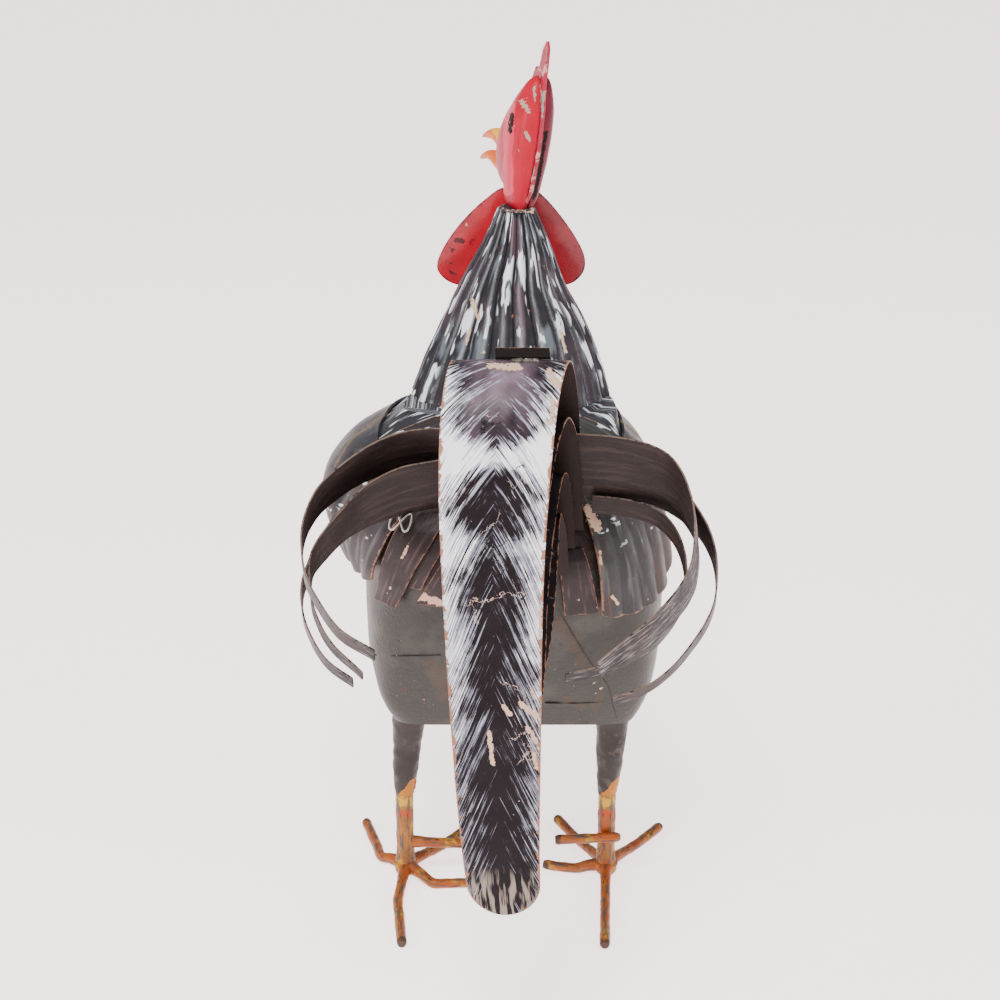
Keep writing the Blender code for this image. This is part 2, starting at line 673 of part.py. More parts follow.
def make_wattle(name, outline, root):
    """A round hanging leaf, slightly dished and tilted forward at the bottom."""
    curve = list(outline)
    xs = [p[0] for p in outline]
    zs = [p[1] for p in outline]
    middle = (sum(xs) / len(xs), sum(zs) / len(zs))
    tilt = math.tan(math.radians(WATTLE_TILT))
    spreads = (1.0, 0.72, 0.36)
    front = []
    for k, spread in enumerate(spreads):
        for x, z in curve:
            x = blend(middle[0], x, spread)
            z = blend(middle[1], z, spread)
            y = WATTLE_Y - (NECK_TOP_Z - z) * tilt + WATTLE_DISH * (1 - spread**2)
            front.append(Vector((x, y, z)) * U - Vector((0, 0, GAP)))
    y = WATTLE_Y - (NECK_TOP_Z - middle[1]) * tilt + WATTLE_DISH
    front.append(Vector((middle[0], y, middle[1])) * U - Vector((0, 0, GAP)))
    back = [p + Vector((0.0, WATTLE_SHEET, 0.0)) for p in front]
    count = len(curve)
    shift = len(front)
    faces = []
    for base, turn in ((0, 1), (shift, -1)):
        for j in range(count):
            n = (j + 1) % count
            for k in range(len(spreads) - 1):
                a, b = base + k * count, base + (k + 1) * count
                faces.append((a + j, a + n, b + n, b + j)[::turn])
            inner = base + (len(spreads) - 1) * count
            faces.append((inner + j, inner + n, base + shift - 1)[::turn])
    for j in range(count):
        n = (j + 1) % count
        faces.append((j, n, shift + n, shift + j))
    return add_object(name, front + back, faces, "red_paint", root)


def rod(name, path, radius, sides, paint_name, root, end_scale=0.72):
    """A straight or bent rod through the path, with a flat facet underneath."""
    rings = []
    for i, here in enumerate(path):
        before = path[max(i - 1, 0)]
        after = path[min(i + 1, len(path) - 1)]
        tangent = (after - before).normalized()
        side = tangent.cross(Vector((0, 0, 1))).normalized()
        upward = side.cross(tangent).normalized()
        size = radius * (end_scale if i == len(path) - 1 else 1.0)
        ring = []
        for k in range(sides):
            turn = 2 * math.pi * (k + 0.5) / sides - math.pi / 2
            ring.append(here + side * size * math.cos(turn) + upward * size * math.sin(turn))
        rings.append(ring)
    points, faces = loft(rings)
    return add_object(name, points, faces, paint_name, root)


def turned(name, sections, sides, paint_name, root):
    """A round upright piece from (x, y, z, radius) sections, bottom to top."""
    rings = []
    for x, y, z, radius in sections:
        rings.append([Vector((x + radius * math.cos(2 * math.pi * i / sides),
                              y + radius * math.sin(2 * math.pi * i / sides), z))
                      for i in range(sides)])
    points, faces = loft(rings)
    return add_object(name, points, faces, paint_name, root)


def make_thigh(side, shank_x, top_x, root):
    """The dark tapered thigh between the body's underside and the shank."""
    low = THIGH_FOOT_Z * U
    high = BODY_BOTTOM_Z * U - GAP
    sections = []
    for f in (0.0, 0.12, 0.35, 0.6, 0.82, 1.0):
        radius = blend(SHANK_ROD / 2 + THIGH_STEP, THIGH_TOP_WIDTH / 2, f**0.8)
        x = blend(shank_x, top_x, f) * U
        sections.append((x, SHANK_Y * U, blend(low, high, f), radius))
    return turned("thigh_" + side, sections, SHANK_SIDES, "thigh_iron", root)


def make_shank(side, shank_x, root):
    """The shank rod with the weld collar that carries the toes."""
    x, y = shank_x * U, SHANK_Y * U
    top = THIGH_FOOT_Z * U - GAP
    wide, slim = WELD_COLLAR / 2, SHANK_ROD / 2
    sections = [
        (x, y, SHANK_CHAMFER, wide - SHANK_CHAMFER), (x, y, 2 * SHANK_CHAMFER, wide),
        (x, y, WELD_COLLAR_HEIGHT, wide), (x, y, WELD_COLLAR_HEIGHT + COLLAR_FILLET, slim),
        (x, y, blend(WELD_COLLAR_HEIGHT, top, 0.5), slim), (x, y, top, slim),
    ]
    return turned("shank_" + side, sections, SHANK_SIDES, "ochre_leg", root)


def make_toe(side, name, shank_x, bend, tip, root):
    """A toe rod from the weld collar to its tip, with its outer part on the ground."""
    hub = Vector((shank_x * U, SHANK_Y * U, 0.0))
    knee = Vector((bend[0] * U, bend[1] * U, 0.0))
    end = Vector((tip[0] * U, tip[1] * U, 0.0))
    heading = (knee - hub).normalized()
    start = hub + heading * (WELD_COLLAR / 2 + TOE_SETBACK)
    ground = Vector((0.0, 0.0, TOE_ROD / 2 * math.cos(math.pi / ROD_SIDES)))
    lift = Vector((0.0, 0.0, TOE_LIFT))
    past = (end - knee).normalized() * TOE_ROD / 4
    path = [start + ground + lift, start.lerp(knee, 0.5) + ground + lift * 0.7,
            knee + ground + lift * 0.2, knee.lerp(end, 0.35) + ground, end + ground,
            end + past + ground]
    return rod("toe_" + name + "_" + side, path, TOE_ROD / 2, ROD_SIDES, "ochre_leg", root)


def make_spur(side, shank_x, height, reach, crosses, root):
    """The spur rod, welded across the back of the shank or to its inner side."""
    inward = -1 if shank_x > 0 else 1
    middle = Vector((shank_x, SHANK_Y, height)) * U
    if crosses:
        middle.y += SHANK_ROD / 2 + GAP + SPUR_ROD / 2
        start = -SPUR_HEEL * U
    else:
        start = SHANK_ROD / 2 + GAP
    heel = middle + Vector((inward * start, 0.0, 0.0))
    tip = middle + Vector((inward * reach, 0.0, -SPUR_DROP)) * U
    path = [heel, heel.lerp(tip, 0.3), heel.lerp(tip, 0.65), tip]
    return rod("spur_" + side, path, SPUR_ROD / 2, ROD_SIDES, "ochre_leg", root)


def clear_scene():
    """Start from an empty scene."""
    for old in list(bpy.data.objects):
        bpy.data.objects.remove(old, do_unlink=True)


def centre_on_floor(root):
    """Move the root so that the origin is in the middle of the bird's footprint box."""
    bpy.context.view_layer.update()
    corners = [made.matrix_world @ Vector(v.co) for made in root.children for v in made.data.vertices]
    for axis in (0, 1):
        values = [c[axis] for c in corners]
        root.location[axis] = -(min(values) + max(values)) / 2
    root.location[2] = -min(c[2] for c in corners)


def main():
    clear_scene()
    root = bpy.data.objects.new("rooster", None)
    bpy.context.scene.collection.objects.link(root)
    make_body(root)
    body_cutter = make_body_cutter(root)
    make_neck(root)
    make_wing("wing_left", WING_LEFT_SPAN, root)
    make_wing("wing_right", WING_RIGHT_SPAN, root)
    make_saddle("saddle_left", SADDLE_LEFT_SPAN, 3, root)
    make_saddle("saddle_right", SADDLE_RIGHT_SPAN, 5, root)
    for row in RUMP_FEATHERS:
        make_rump_feather(*row, root)
    for row in CENTRE_FEATHERS:
        made = make_centre_feather(*row, root)
        trim_with(made, body_cutter)
    for row in SIDE_FEATHERS:
        make_side_feather(*row, root)
    make_strap_tab(root)
    make_head_shell("head_shell_left", 1, root)
    make_head_shell("head_shell_right", -1, root)
    make_comb_plate(root)
    make_beak("beak_upper", BEAK_UPPER, root)
    make_beak("beak_lower", BEAK_LOWER, root)
    make_wattle("wattle_left", WATTLE_LEFT, root)
    make_wattle("wattle_right", WATTLE_RIGHT, root)
    for side, shank_x, top_x, spur, toes in LEGS:
        make_thigh(side, shank_x, top_x, root)
        make_shank(side, shank_x, root)
        make_spur(side, shank_x, *spur, root)
        for name, (bend, tip) in zip(TOE_NAMES, toes):
            make_toe(side, name, shank_x, bend, tip, root)
    centre_on_floor(root)


main()
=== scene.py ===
"""Detailed look of a welded and painted iron rooster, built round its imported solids."""

import math

import bmesh
import bpy
import numpy as np
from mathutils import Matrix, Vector, noise


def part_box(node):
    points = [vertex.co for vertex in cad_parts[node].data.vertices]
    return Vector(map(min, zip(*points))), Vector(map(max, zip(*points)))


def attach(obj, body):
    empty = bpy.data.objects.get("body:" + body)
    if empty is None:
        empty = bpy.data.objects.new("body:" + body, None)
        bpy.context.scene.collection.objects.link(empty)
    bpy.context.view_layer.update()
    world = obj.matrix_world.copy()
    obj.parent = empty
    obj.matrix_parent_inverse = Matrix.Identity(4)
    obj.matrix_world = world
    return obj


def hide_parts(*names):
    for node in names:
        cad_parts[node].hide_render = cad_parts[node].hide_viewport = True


bl_info = {
    "name": "Iron rooster figurine",
    "version": (1, 0, 0),
    "blender": (4, 5, 0),
    "location": "View3D > Sidebar > Rooster",
    "description": "Builds a bent, welded and painted iron rooster round its solids",
    "category": "Object",
}

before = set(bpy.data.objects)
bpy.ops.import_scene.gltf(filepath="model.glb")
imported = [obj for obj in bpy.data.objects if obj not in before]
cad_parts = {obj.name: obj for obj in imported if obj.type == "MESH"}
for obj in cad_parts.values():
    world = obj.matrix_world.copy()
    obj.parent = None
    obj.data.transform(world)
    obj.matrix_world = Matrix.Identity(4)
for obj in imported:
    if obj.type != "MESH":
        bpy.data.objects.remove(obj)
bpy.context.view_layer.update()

# The free forms are drawn in millimetres from the point between the feet. The left
# shank's middle says how far that point lies from the origin.
MM = 0.001
SHANK_X = (67.5, -65.0)
SHANK_Y = 5.5
_low, _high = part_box("shank_left")
SHIFT = np.array([
    (_low[0] + _high[0]) / 2 - SHANK_X[0] * MM,
    (_low[1] + _high[1]) / 2 - SHANK_Y * MM,
    0.0,
])

# Camera, in the drawing's own frame, with its focal length in millimetres and in pixels
# of the 1000 pixel wide picture.
CAMERA_PLACE = np.array([0.005, 1.2, 0.7626])
CAMERA_DOWN = math.radians(22.5)
CAMERA_LENS = 75.6
CAMERA_PIXELS = 2100.0
HALF_FRAME = 500.0

# Room between pieces, sheet thickness, and how far draped sheets stand off the body.
GAP, SHEET, CLEAR = 0.3, 1.5, 1.8
LAYER = SHEET + CLEAR
BODY_BOTTOM, BODY_TOP, NECK_TOP = 138.0, 326.0, 430.0

# Body rows: height, reach to the left, right, front and back, squareness.
BODY_ROWS = (
    (BODY_BOTTOM, 71.5, 79, 54, 55, 10), (145, 76.5, 83.5, 62, 58, 8),
    (158, 82, 89, 72, 63, 6), (180, 86.5, 93.5, 86, 71, 4.6), (207, 87.5, 95, 95, 80, 3.5),
    (235, 89, 95, 101, 87, 2.8), (258, 100, 93, 102, 89, 2.5), (280, 110.5, 90, 98, 83, 2.3),
    (299, 99, 80, 88, 67, 2.3), (314, 78, 69, 77, 42, 2.2),
    (BODY_TOP, 63.5, 66, 76, 15, 2.1),
)
# Neck rows: height, middle, half width and half depth.
NECK_ROWS = (
    (BODY_TOP, -1.5, -31, 62, 44), (345, -2.5, -40, 55, 40), (364, -3.3, -49, 46, 35),
    (388, -2.7, -60, 32.5, 28), (411, -5, -70.5, 21, 20.5), (NECK_TOP, -5.2, -79, 11.5, 14),
)
NECK_PLEATS, PLEAT_DEPTH = 20, 3.6
# Wings: angles of the front and tail ends.
WINGS = {"wing_left": (-68, 30), "wing_right": (248, 150)}
WING_END_TOP, WING_END_HEM, WING_TOP, WING_HEM, WING_RISE = 296, 262, 317, 236, 14
# Saddles: first and last angle, number of pleats.
SADDLES = {"saddle_left": (19, 39, 3), "saddle_right": (123.5, 161, 5)}
SADDLE_TOP, SADDLE_PLEAT = 324, 2.2
# Saddle hem: angle and height.
SADDLE_HEM = (
    (19, 250), (30, 243), (45, 243), (90, 240), (116, 232), (130, 226), (145, 228), (155, 238),
    (161, 250),
)
# Rump feathers: first and last angle, top and hem height, layer.
RUMP_FEATHERS = {
    "rump_feather_left_1": (39.5, 49, 287, 229, 1),
    "rump_feather_left_2": (49.5, 58.5, 290, 244, 0),
    "rump_feather_left_3": (57, 67, 276, 236, 1),
    "rump_feather_right_1": (111, 123, 269, 229, 0),
}
# Degrees by which the first left strip is widened at its top.
STRIP_WIDENED = 9.5
# Centre feathers: middle line, widths along it and the length of the round tip.
CENTRE_FEATHERS = {
    "tail_feather_outer": (
        ((-10, 74, 288), (-8.5, 86, 322), (-6, 104, 365), (-3, 122, 393), (0, 143, 403.5),
         (4, 166, 396), (7, 183, 371), (8.6, 191, 332), (8.6, 199, 280), (7, 208, 215),
         (5, 213, 155), (1.8, 216, 107)),
        (65, 65, 60, 53, 47, 39), 19),
    "tail_feather_second": (
        ((-12, 82, 281), (-10.5, 92, 312), (-8.5, 105, 346), (-4.5, 123, 365), (0, 142, 356),
         (3.5, 156, 325), (5, 168, 272), (5, 178, 205), (3, 184, 150)),
        (63, 60, 51, 46, 43, 34), 16),
    "tail_feather_third": (
        ((-12, 88, 272), (-10, 97, 300), (-7.5, 108, 324), (-5, 121, 330), (-2.5, 134, 316),
         (0, 146, 280), (1, 157, 235), (1.5, 165, 180)),
        (53, 53, 48, 44, 42, 34), 14),
    "tail_feather_inner": (
        ((-13, 93, 257), (-11, 101, 284), (-8, 111, 303), (-7, 121, 301), (-6, 131, 282),
         (-5, 140, 250), (-4, 147, 210)),
        (44, 44, 43, 42, 38, 28), 12),
}
FEATHER_SHEET = 1.0
# The strap's end stands on the crest of the outer feather.
CREST = np.array(CENTRE_FEATHERS["tail_feather_outer"][0][4])
STRAP_FOOT = CREST + np.array([-7, 0, 1.9])
STRAP_WIDTH, STRAP_LENGTH, STRAP_SLOPE = 29, 13, math.radians(4)
# Side feathers bend in planes that lean back by this angle: side, start depth and
# height, splay, path out and back in the plane, widths along it.
SIDE_LEAN = math.radians(65)
SIDE_FEATHERS = {
    "side_feather_left_upper": (
        1, 95, 336, 0,
        ((12, -0.5), (28, 0.5), (44, 1.5), (62, -2), (79, -11), (95, -26), (106, -42), (112, -66),
         (110, -90), (104, -107), (90, -132), (70, -148)),
        (30, 29, 24, 16, 11, 8.5)),
    "side_feather_left_middle": (
        1, 98, 315, 0,
        ((24, 7.4), (32, 6.5), (44, 3), (64, -4), (83, -18), (98, -39), (107.5, -58), (108, -77),
         (104, -95), (96, -113), (77, -136)),
        (31, 35, 27, 16, 9, 6)),
    "side_feather_left_lower": (
        1, 91, 303, 0,
        ((33, 9.5), (45, 8.5), (67, 2), (89, -13), (104, -36), (113, -61), (113.5, -78),
         (109, -96), (99, -116), (83, -131)),
        (34, 33, 25, 15, 9, 7.5)),
    "side_feather_right_upper": (
        -1, 93.5, 325, 8,
        ((4, 2), (44, 0.5), (74, -4), (90, -13), (99.5, -30), (103, -52), (100, -78), (93, -96),
         (80, -114), (64, -130), (47, -146)),
        (52, 52, 48, 28, 21, 14)),
    "side_feather_right_outer": (
        -1, 86, 309, 0,
        ((40, 11.5), (54, 10), (72, 5), (92, -7), (107, -27), (114, -50), (114, -76),
         (108.5, -97), (93, -124), (75, -143), (54, -153)),
        (30, 28, 18, 9, 7, 6)),
    "side_feather_right_inner": (
        -1, 82, 300, 0,
        ((48, -3.8), (60, -5), (74, -8.5), (86.5, -16), (95, -31), (98.5, -52), (96, -75),
         (88.5, -92), (77, -107), (60, -119), (45, -126), (30, -130)),
        (14, 14, 13, 11, 9, 7.5)),
}
# Head, drawn in its own plane: forward and up from the top of the neck.
HEAD_TURN, HEAD_LEAN = math.radians(22), math.radians(9)
HEAD_FOOT = (-7.5, -83, NECK_TOP + GAP)
HEAD_BULGE, HEAD_FRONT, HEAD_PLATE, HEAD_RIM = 11.5, 32, 2.4, 0.4
HEAD_MIDDLE, COMB_MIDDLE, HEAD_RINGS = (3, 48), (6, 46), 26
HEAD_OUTLINE = (
    (-7, -3), (-12, 12), (-14, 36), (-12, 60), (-7, 75), (-1, 80.5), (8, 75), (18, 65), (29, 52),
    (36.5, 36), (34, 18), (24, 9.5), (14, 6), (9, -3),
)
COMB_OUTLINE = (
    (-8, 0), (-14, 12), (-16.2, 36), (-14.2, 61), (-10, 76), (-9, 88), (-7.5, 98), (-4.5, 101.7),
    (-1.5, 97), (0, 87), (2.5, 84), (5.5, 85), (8, 79), (10.5, 75), (13.5, 75), (16.5, 70),
    (19.5, 65), (22.5, 64.5), (26, 58), (29, 54), (32, 48), (32, 15), (26, 9.5), (13, 8), (9, 0),
)
# Beak rows: forward, up, half width, half height.
BEAKS = {
    "beak_upper": ((0, 31.5, 5.8, 6.3), (10, 33.4, 5.2, 5.2), (20, 33.8, 4.2, 4.1),
                   (30, 32.2, 3, 3), (38, 29.6, 1.6, 1.6), (41.5, 28, 0.6, 0.7)),
    "beak_lower": ((0, 17.5, 5, 4.4), (9, 19, 4.7, 4.1), (19, 20.2, 4.1, 3.5),
                   (28, 19.2, 3.2, 2.8), (36, 16.4, 1.9, 1.8), (40, 14.5, 0.7, 0.8)),
}
# Wattle outlines: across and up.
WATTLES = {
    "wattle_left": (
        (-4, 437), (4, 437), (13, 430.5), (24, 420), (35.5, 405.5), (43.5, 391), (45.5, 381),
        (40.5, 373.5), (32, 369.5), (20, 370), (8, 379), (0, 395), (-3, 415)),
    "wattle_right": (
        (-15, 437), (-7, 437), (-5.5, 415), (-9, 395), (-18, 379), (-31, 369.5), (-42, 371),
        (-49, 379), (-49.5, 389), (-44, 402), (-34, 417.5), (-23, 431)),
}
WATTLE_TOP, WATTLE_Y, WATTLE_TILT = 437, -104.5, math.radians(12)
WATTLE_DISH, WATTLE_SHEET = 3, 2.2
TOE_NAMES = ("outer", "middle", "inner", "hind")
# Legs: side, shank x, thigh top x, spur (height, reach, crosses), toes' bend and tip.
LEGS = (
    ("left", 67.5, 62, (24, 47.5, False),
     (((84, -8), (97, -53)), ((48, -18), (22, -52)), ((49, 24), (20, 22)),
      ((71, 45), (66.5, 91)))),
    ("right", -65, -68.5, (33, 34, True),
     (((-84, -20), (-104, -47)), ((-51, -24), (-35, -57)), ((-46, 6), (-25.5, 0.5)),
      ((-63, 45), (-60.5, 92.5)))),
)
TOE_ROD, SHANK_ROD, COLLAR, COLLAR_HEIGHT = 6.6, 11.5, 14.6, 8.5
THIGH_FOOT, THIGH_TOP_WIDTH = 62, 23.8
TOE_LIFT, TOE_SETBACK, SPUR_HEEL, SPUR_DROP, ROD_END = 3.5, 2.7, 9, 2, 0.72
# Painted bands of the shanks: height and reach.
SHANK_BANDS = {"yellow": (57, 4.5), "orange": (48, 4)}
# Welds: the neck's ring (middle and radii), the collars' radius, a drip from the left
# knee and the strap's row from the crest.
NECK_WELD, COLLAR_WELD = (-6.0, -80.5, 429.5, 9.5, 11.5), 6.3
KNEE_DRIP = ((-4.9, 0.5, 4.0), (-5.5, 1.0, 8.0), (-5.2, 1.0, 11.0))
STRAP_WELD = ((-14.0, 1.0, 1.2), (-6.0, 1.6, 1.4), (-2.0, 1.0, 1.2))
SEAM_RADIUS = 0.32
# Wire twist: middle and reach in degrees and in height, turns and radius.
WIRE_PLACE, WIRE_REACH, WIRE_TURNS, WIRE_RADIUS = (51.0, 281.0), (3.4, 4.0), 1.6, 0.6

# Stage, in metres: the floor's reach; for each lamp its place, aim, size and power.
FLOOR_REACH = 30.0
LAMPS = {
    "top_lamp": ((0.25, 0.9, 1.9), (0.0, 0.05, 0.25), 0.7, 36.0),
    "left_lamp": ((1.5, 0.7, 0.9), (0.0, 0.0, 0.25), 0.5, 11.0),
    "right_lamp": ((-1.5, 0.5, 1.0), (0.0, 0.0, 0.25), 0.5, 6.0),
}

# Marks that wear, chips and rust left, with a painted highlight and painted shade on the
# head, drawn where the camera sees them: points of a line and its half width, in the
# picture's 1000 by 1000 frame.
MARKS = {
    "tail_feather_outer": {
        "bare": ((549, 372, 557, 384, 5), (553, 400, 551, 424, 3.2), (490, 366, 520, 367, 4),
                 (489, 732, 493, 763, 3), (503, 706, 510, 714, 3), (521, 704, 537, 716, 3.4),
                 (528, 728, 536, 742, 3.2), (533, 752, 536, 768, 2.4), (524, 745, 2.4),
                 (515, 690, 1.6), (532, 690, 535, 698, 2.0), (541, 610, 540, 640, 1.8)),
        "crack": ((500, 530, 508, 600, 20), (480, 610, 520, 620, 14),
                  (490, 425, 520, 480, 12), (510, 690, 530, 760, 14)),
    },
    "neck": {
        "bare": ((472, 300, 478, 318, 2.6), (470, 330, 466, 344, 2.0), (484, 352, 2.2),
                 (560, 330, 566, 352, 1.8), (505, 208, 532, 211, 3.0)),
        "plum": ((514, 225, 517, 255, 8), (520, 290, 521, 350, 6)),
    },
    "body": {
        "rust": ((432, 664, 446, 694, 9), (600, 690, 596, 712, 4), (404, 690, 4),
                 (560, 620, 580, 660, 8), (566, 700, 590, 708, 5)),
        "bare": ((595, 683, 2.0), (601, 688, 1.7), (596, 694, 1.6),
                 (586, 512, 596, 524, 6), (397, 655, 1.6), (424, 700, 1.6)),
    },
    "wing_left": {
        "bare": ((442, 390, 433, 395, 420, 400, 402, 407, 380, 417, 350, 440, 335, 465, 1.5),
                 (372, 437, 1.8)),
        "dark": ((441, 396, 2.4),),
    },
    "wing_right": {"bare": ((577, 385, 600, 402, 620, 420, 655, 450, 1.5),)},
    "saddle_left": {
        "white": ((398, 410, 440, 407, 4), (380, 430, 425, 436, 3), (350, 470, 372, 452, 2.4)),
        "bare": ((388, 540, 1.8), (362, 560, 1.4)),
    },
    "saddle_right": {
        "bare": ((588, 510, 597, 527, 6), (600, 551, 601, 564, 1.8), (597, 600, 2.0),
                 (612, 596, 618, 604, 2.2)),
        "white": ((600, 425, 640, 436, 3),),
    },
    "rump_feather_left_1": {"bare": ((408, 546, 402, 558, 1.8), (390, 588, 2.0))},
    "rump_feather_left_2": {"bare": ((410, 572, 2.4),)},
    "rump_feather_left_3": {"bare": ((414, 594, 441, 603, 5),), "rust": ((428, 592, 4),)},
    "rump_feather_right_1": {"bare": ((599, 552, 602, 564, 1.8), (578, 600, 1.6))},
    "head_shell_left": {
        "bare": ((522, 102, 528, 111, 3.4), (526, 133, 529, 139, 2.6),
                 (534, 86, 535, 100, 1.8), (519, 150, 1.2), (541, 84, 542, 108, 1.6),
                 (538, 140, 534, 170, 1.2)),
        "dark": ((512, 115, 510, 131, 3.0),),
        # Painted pink highlight down the lit left edge of the head.
        "painted_highlight": ((512, 90, 508, 150, 508, 190, 6),),
    },
    "comb_plate": {
        "bare": ((546, 48, 546, 60, 1.8), (544, 92, 542, 116, 1.7), (535, 165, 532, 178, 1.0)),
    },
    # Painted shade in the recess between the comb and the right half of the head.
    "head_shell_right": {"dark": ((546, 132, 543, 152, 539, 176, 534, 198, 2.2),)},
    "wattle_left": {
        "dark": ((456, 240, 464, 241, 3.0), (452, 250, 3.6), (447, 262, 455, 276, 2.6),
                 (468, 236, 1.8)),
        "bare": ((466, 225, 1.6),),
    },
    "wattle_right": {"dark": ((583, 262, 2.0), (574, 246, 1.6))},
}
# Picture rows where the tail's paint changes: middle and half height of two painted
# highlight bands on the bend, then the rows where the barbs start and thin out, the bare
# tip, the rubbed ends of the side feather and the end of the mauve glow.
HIGHLIGHT_BAND, FAINT_HIGHLIGHT_BAND = (456, 17), (548, 16)
BARB_START_ROW, FADE_ROW, TIP_ROW, RUBBED_ROW, MAUVE_ROW = 345, 480, 868, 500, 460
# Seams of the body's sheets, where the camera sees them.
SEAMS = {
    "seam_rear_panel": ((558, 609), (568, 627), (576, 640), (593, 666), (608, 685), (613, 705),
                        (617, 718)),
    "seam_belly": ((545, 703), (575, 703), (607, 701)),
    "seam_side": ((375, 655), (400, 656), (441, 655)),
}


def linear(hex_colour):
    """Linear RGBA of an sRGB hex value."""
    parts = [int(hex_colour[i:i + 2], 16) / 255 for i in (1, 3, 5)]
    return (*[c / 12.92 if c <= 0.04045 else ((c + 0.055) / 1.055) ** 2.4 for c in parts], 1.0)


def shade(colour):
    """Linear RGBA of a hex value or of a colour setting."""
    return linear(colour) if isinstance(colour, str) else tuple(colour)


def add_node(tree, kind, settings=(), links=()):
    """Add a node, set its properties, and link or set its inputs."""
    made = tree.nodes.new(kind)
    for key, value in dict(settings).items():
        setattr(made, key, value)
    for key, value in dict(links).items():
        if isinstance(value, bpy.types.NodeSocket):
            tree.links.new(value, made.inputs[key])
        else:
            made.inputs[key].default_value = value
    return made


def threshold(tree, value, low, high):
    """Share from 0 at low to 1 at high."""
    return add_node(tree, "ShaderNodeMapRange", (), {0: value, 1: low, 2: high}).outputs[0]


def cloud(tree, vector, scale, detail, roughness=0.6):
    """Fractal noise."""
    return add_node(tree, "ShaderNodeTexNoise", (), {
        "Vector": vector, "Scale": scale, "Detail": detail, "Roughness": roughness})


def grain(tree, vector, scale, detail, low, high):
    """Mask of noise, 0 where it is low and 1 where it is high."""
    return threshold(tree, cloud(tree, vector, scale, detail).outputs["Fac"], low, high)


def read(tree, name):
    """A number painted on the piece's points."""
    made = add_node(tree, "ShaderNodeAttribute", {"attribute_name": name})
    return made.outputs["Fac"]


def combine(tree, operation, a, b, c=0.0):
    """Arithmetic on two or three values."""
    links = {0: a, 1: b, 2: c}
    return add_node(tree, "ShaderNodeMath", {"operation": operation}, links).outputs[0]


def streak_mask(tree, place, layer):
    """Strokes that follow the numbers painted across and along a sheet."""
    stretched = add_node(tree, "ShaderNodeCombineXYZ", (), {
        0: combine(tree, "MULTIPLY", read(tree, "across"), layer["across"]),
        1: combine(tree, "MULTIPLY", read(tree, "along"), layer["along"]),
        2: layer.get("seed", 0.0)})
    low = layer["start"]
    return grain(tree, stretched.outputs[0], 1.0, 2.0, low, low + layer["soft"])


def patch_mask(tree, place, layer):
    """Cloudy patches."""
    low = layer["start"]
    return grain(tree, place, layer["scale"], 5.0, low, low + layer["soft"])


def ragged_noise(tree, place, layer):
    """The noise that makes the border of a mark ragged."""
    return grain(tree, place, layer.get("scale", 420.0), 7.0, 0.25, 0.75)


def edge_mask(tree, place, layer):
    """A ragged line along the cut edge of a sheet, its width in millimetres."""
    reach = combine(tree, "MULTIPLY_ADD", ragged_noise(tree, place, layer), layer["width"] * 1.6,
                    -0.5 * layer["width"])
    return threshold(tree, combine(tree, "SUBTRACT", reach, read(tree, "edge")), -0.1, 0.25)


def crackle_mask(tree, place, layer):
    """Hairline cracks round wandering cells, only where cracks are marked."""
    bent = cloud(tree, place, 140.0, 4.0, 0.7)
    moved = add_node(tree, "ShaderNodeMixRGB", {"blend_type": "ADD"}, {
        0: layer["bend"], 1: place, 2: bent.outputs["Color"]})
    cells = add_node(tree, "ShaderNodeTexVoronoi", {"feature": "DISTANCE_TO_EDGE"}, {
        "Vector": moved.outputs[0], "Scale": layer["scale"]})
    line = threshold(tree, cells.outputs["Distance"], layer["thin"], layer["thin"] * 0.4)
    return combine(tree, "MULTIPLY", line, threshold(tree, read(tree, "crack"), 0.45, 0.6))


def barb_mask(tree, place, layer):
    """Fine lines that leave the middle of a feather, dense where barbs crowd and in the painted
    highlight bands.
    """
    ribs = add_node(tree, "ShaderNodeCombineXYZ", (), {
        0: combine(tree, "MULTIPLY", read(tree, "barb"), layer["fine"]),
        1: combine(tree, "MULTIPLY", read(tree, "across"), layer["length"]),
        2: combine(tree, "SIGN", read(tree, "across"), 0.0)})
    lines = cloud(tree, ribs.outputs[0], 1.0, 3.0, 0.75)
    # The number read here is barb density with the painted highlight bands added.
    lift = combine(tree, "MULTIPLY_ADD", read(tree, "sheen"), layer["gain"], -layer["hold"])
    total = combine(tree, "ADD", lines.outputs["Fac"], lift)
    total = combine(tree, "MULTIPLY_ADD", grain(tree, place, 90.0, 3.0, 0.3, 0.7), 0.10, total)
    return threshold(tree, total, 0.5, 0.5 + layer["soft"])


def mark_mask(tree, place, layer):
    """Ragged marks where the numbers painted under the layer's kind are high."""
    amount = layer.get("ragged", 0.9)
    painted = combine(tree, "MULTIPLY_ADD", ragged_noise(tree, place, layer), amount,
                      read(tree, layer["kind"]))
    low = 0.55 + 0.6 * amount
    return threshold(tree, painted, low, low + 0.06)


MASKS = {"streak": streak_mask, "patch": patch_mask, "edge": edge_mask, "crackle": crackle_mask,
         "barbs": barb_mask}


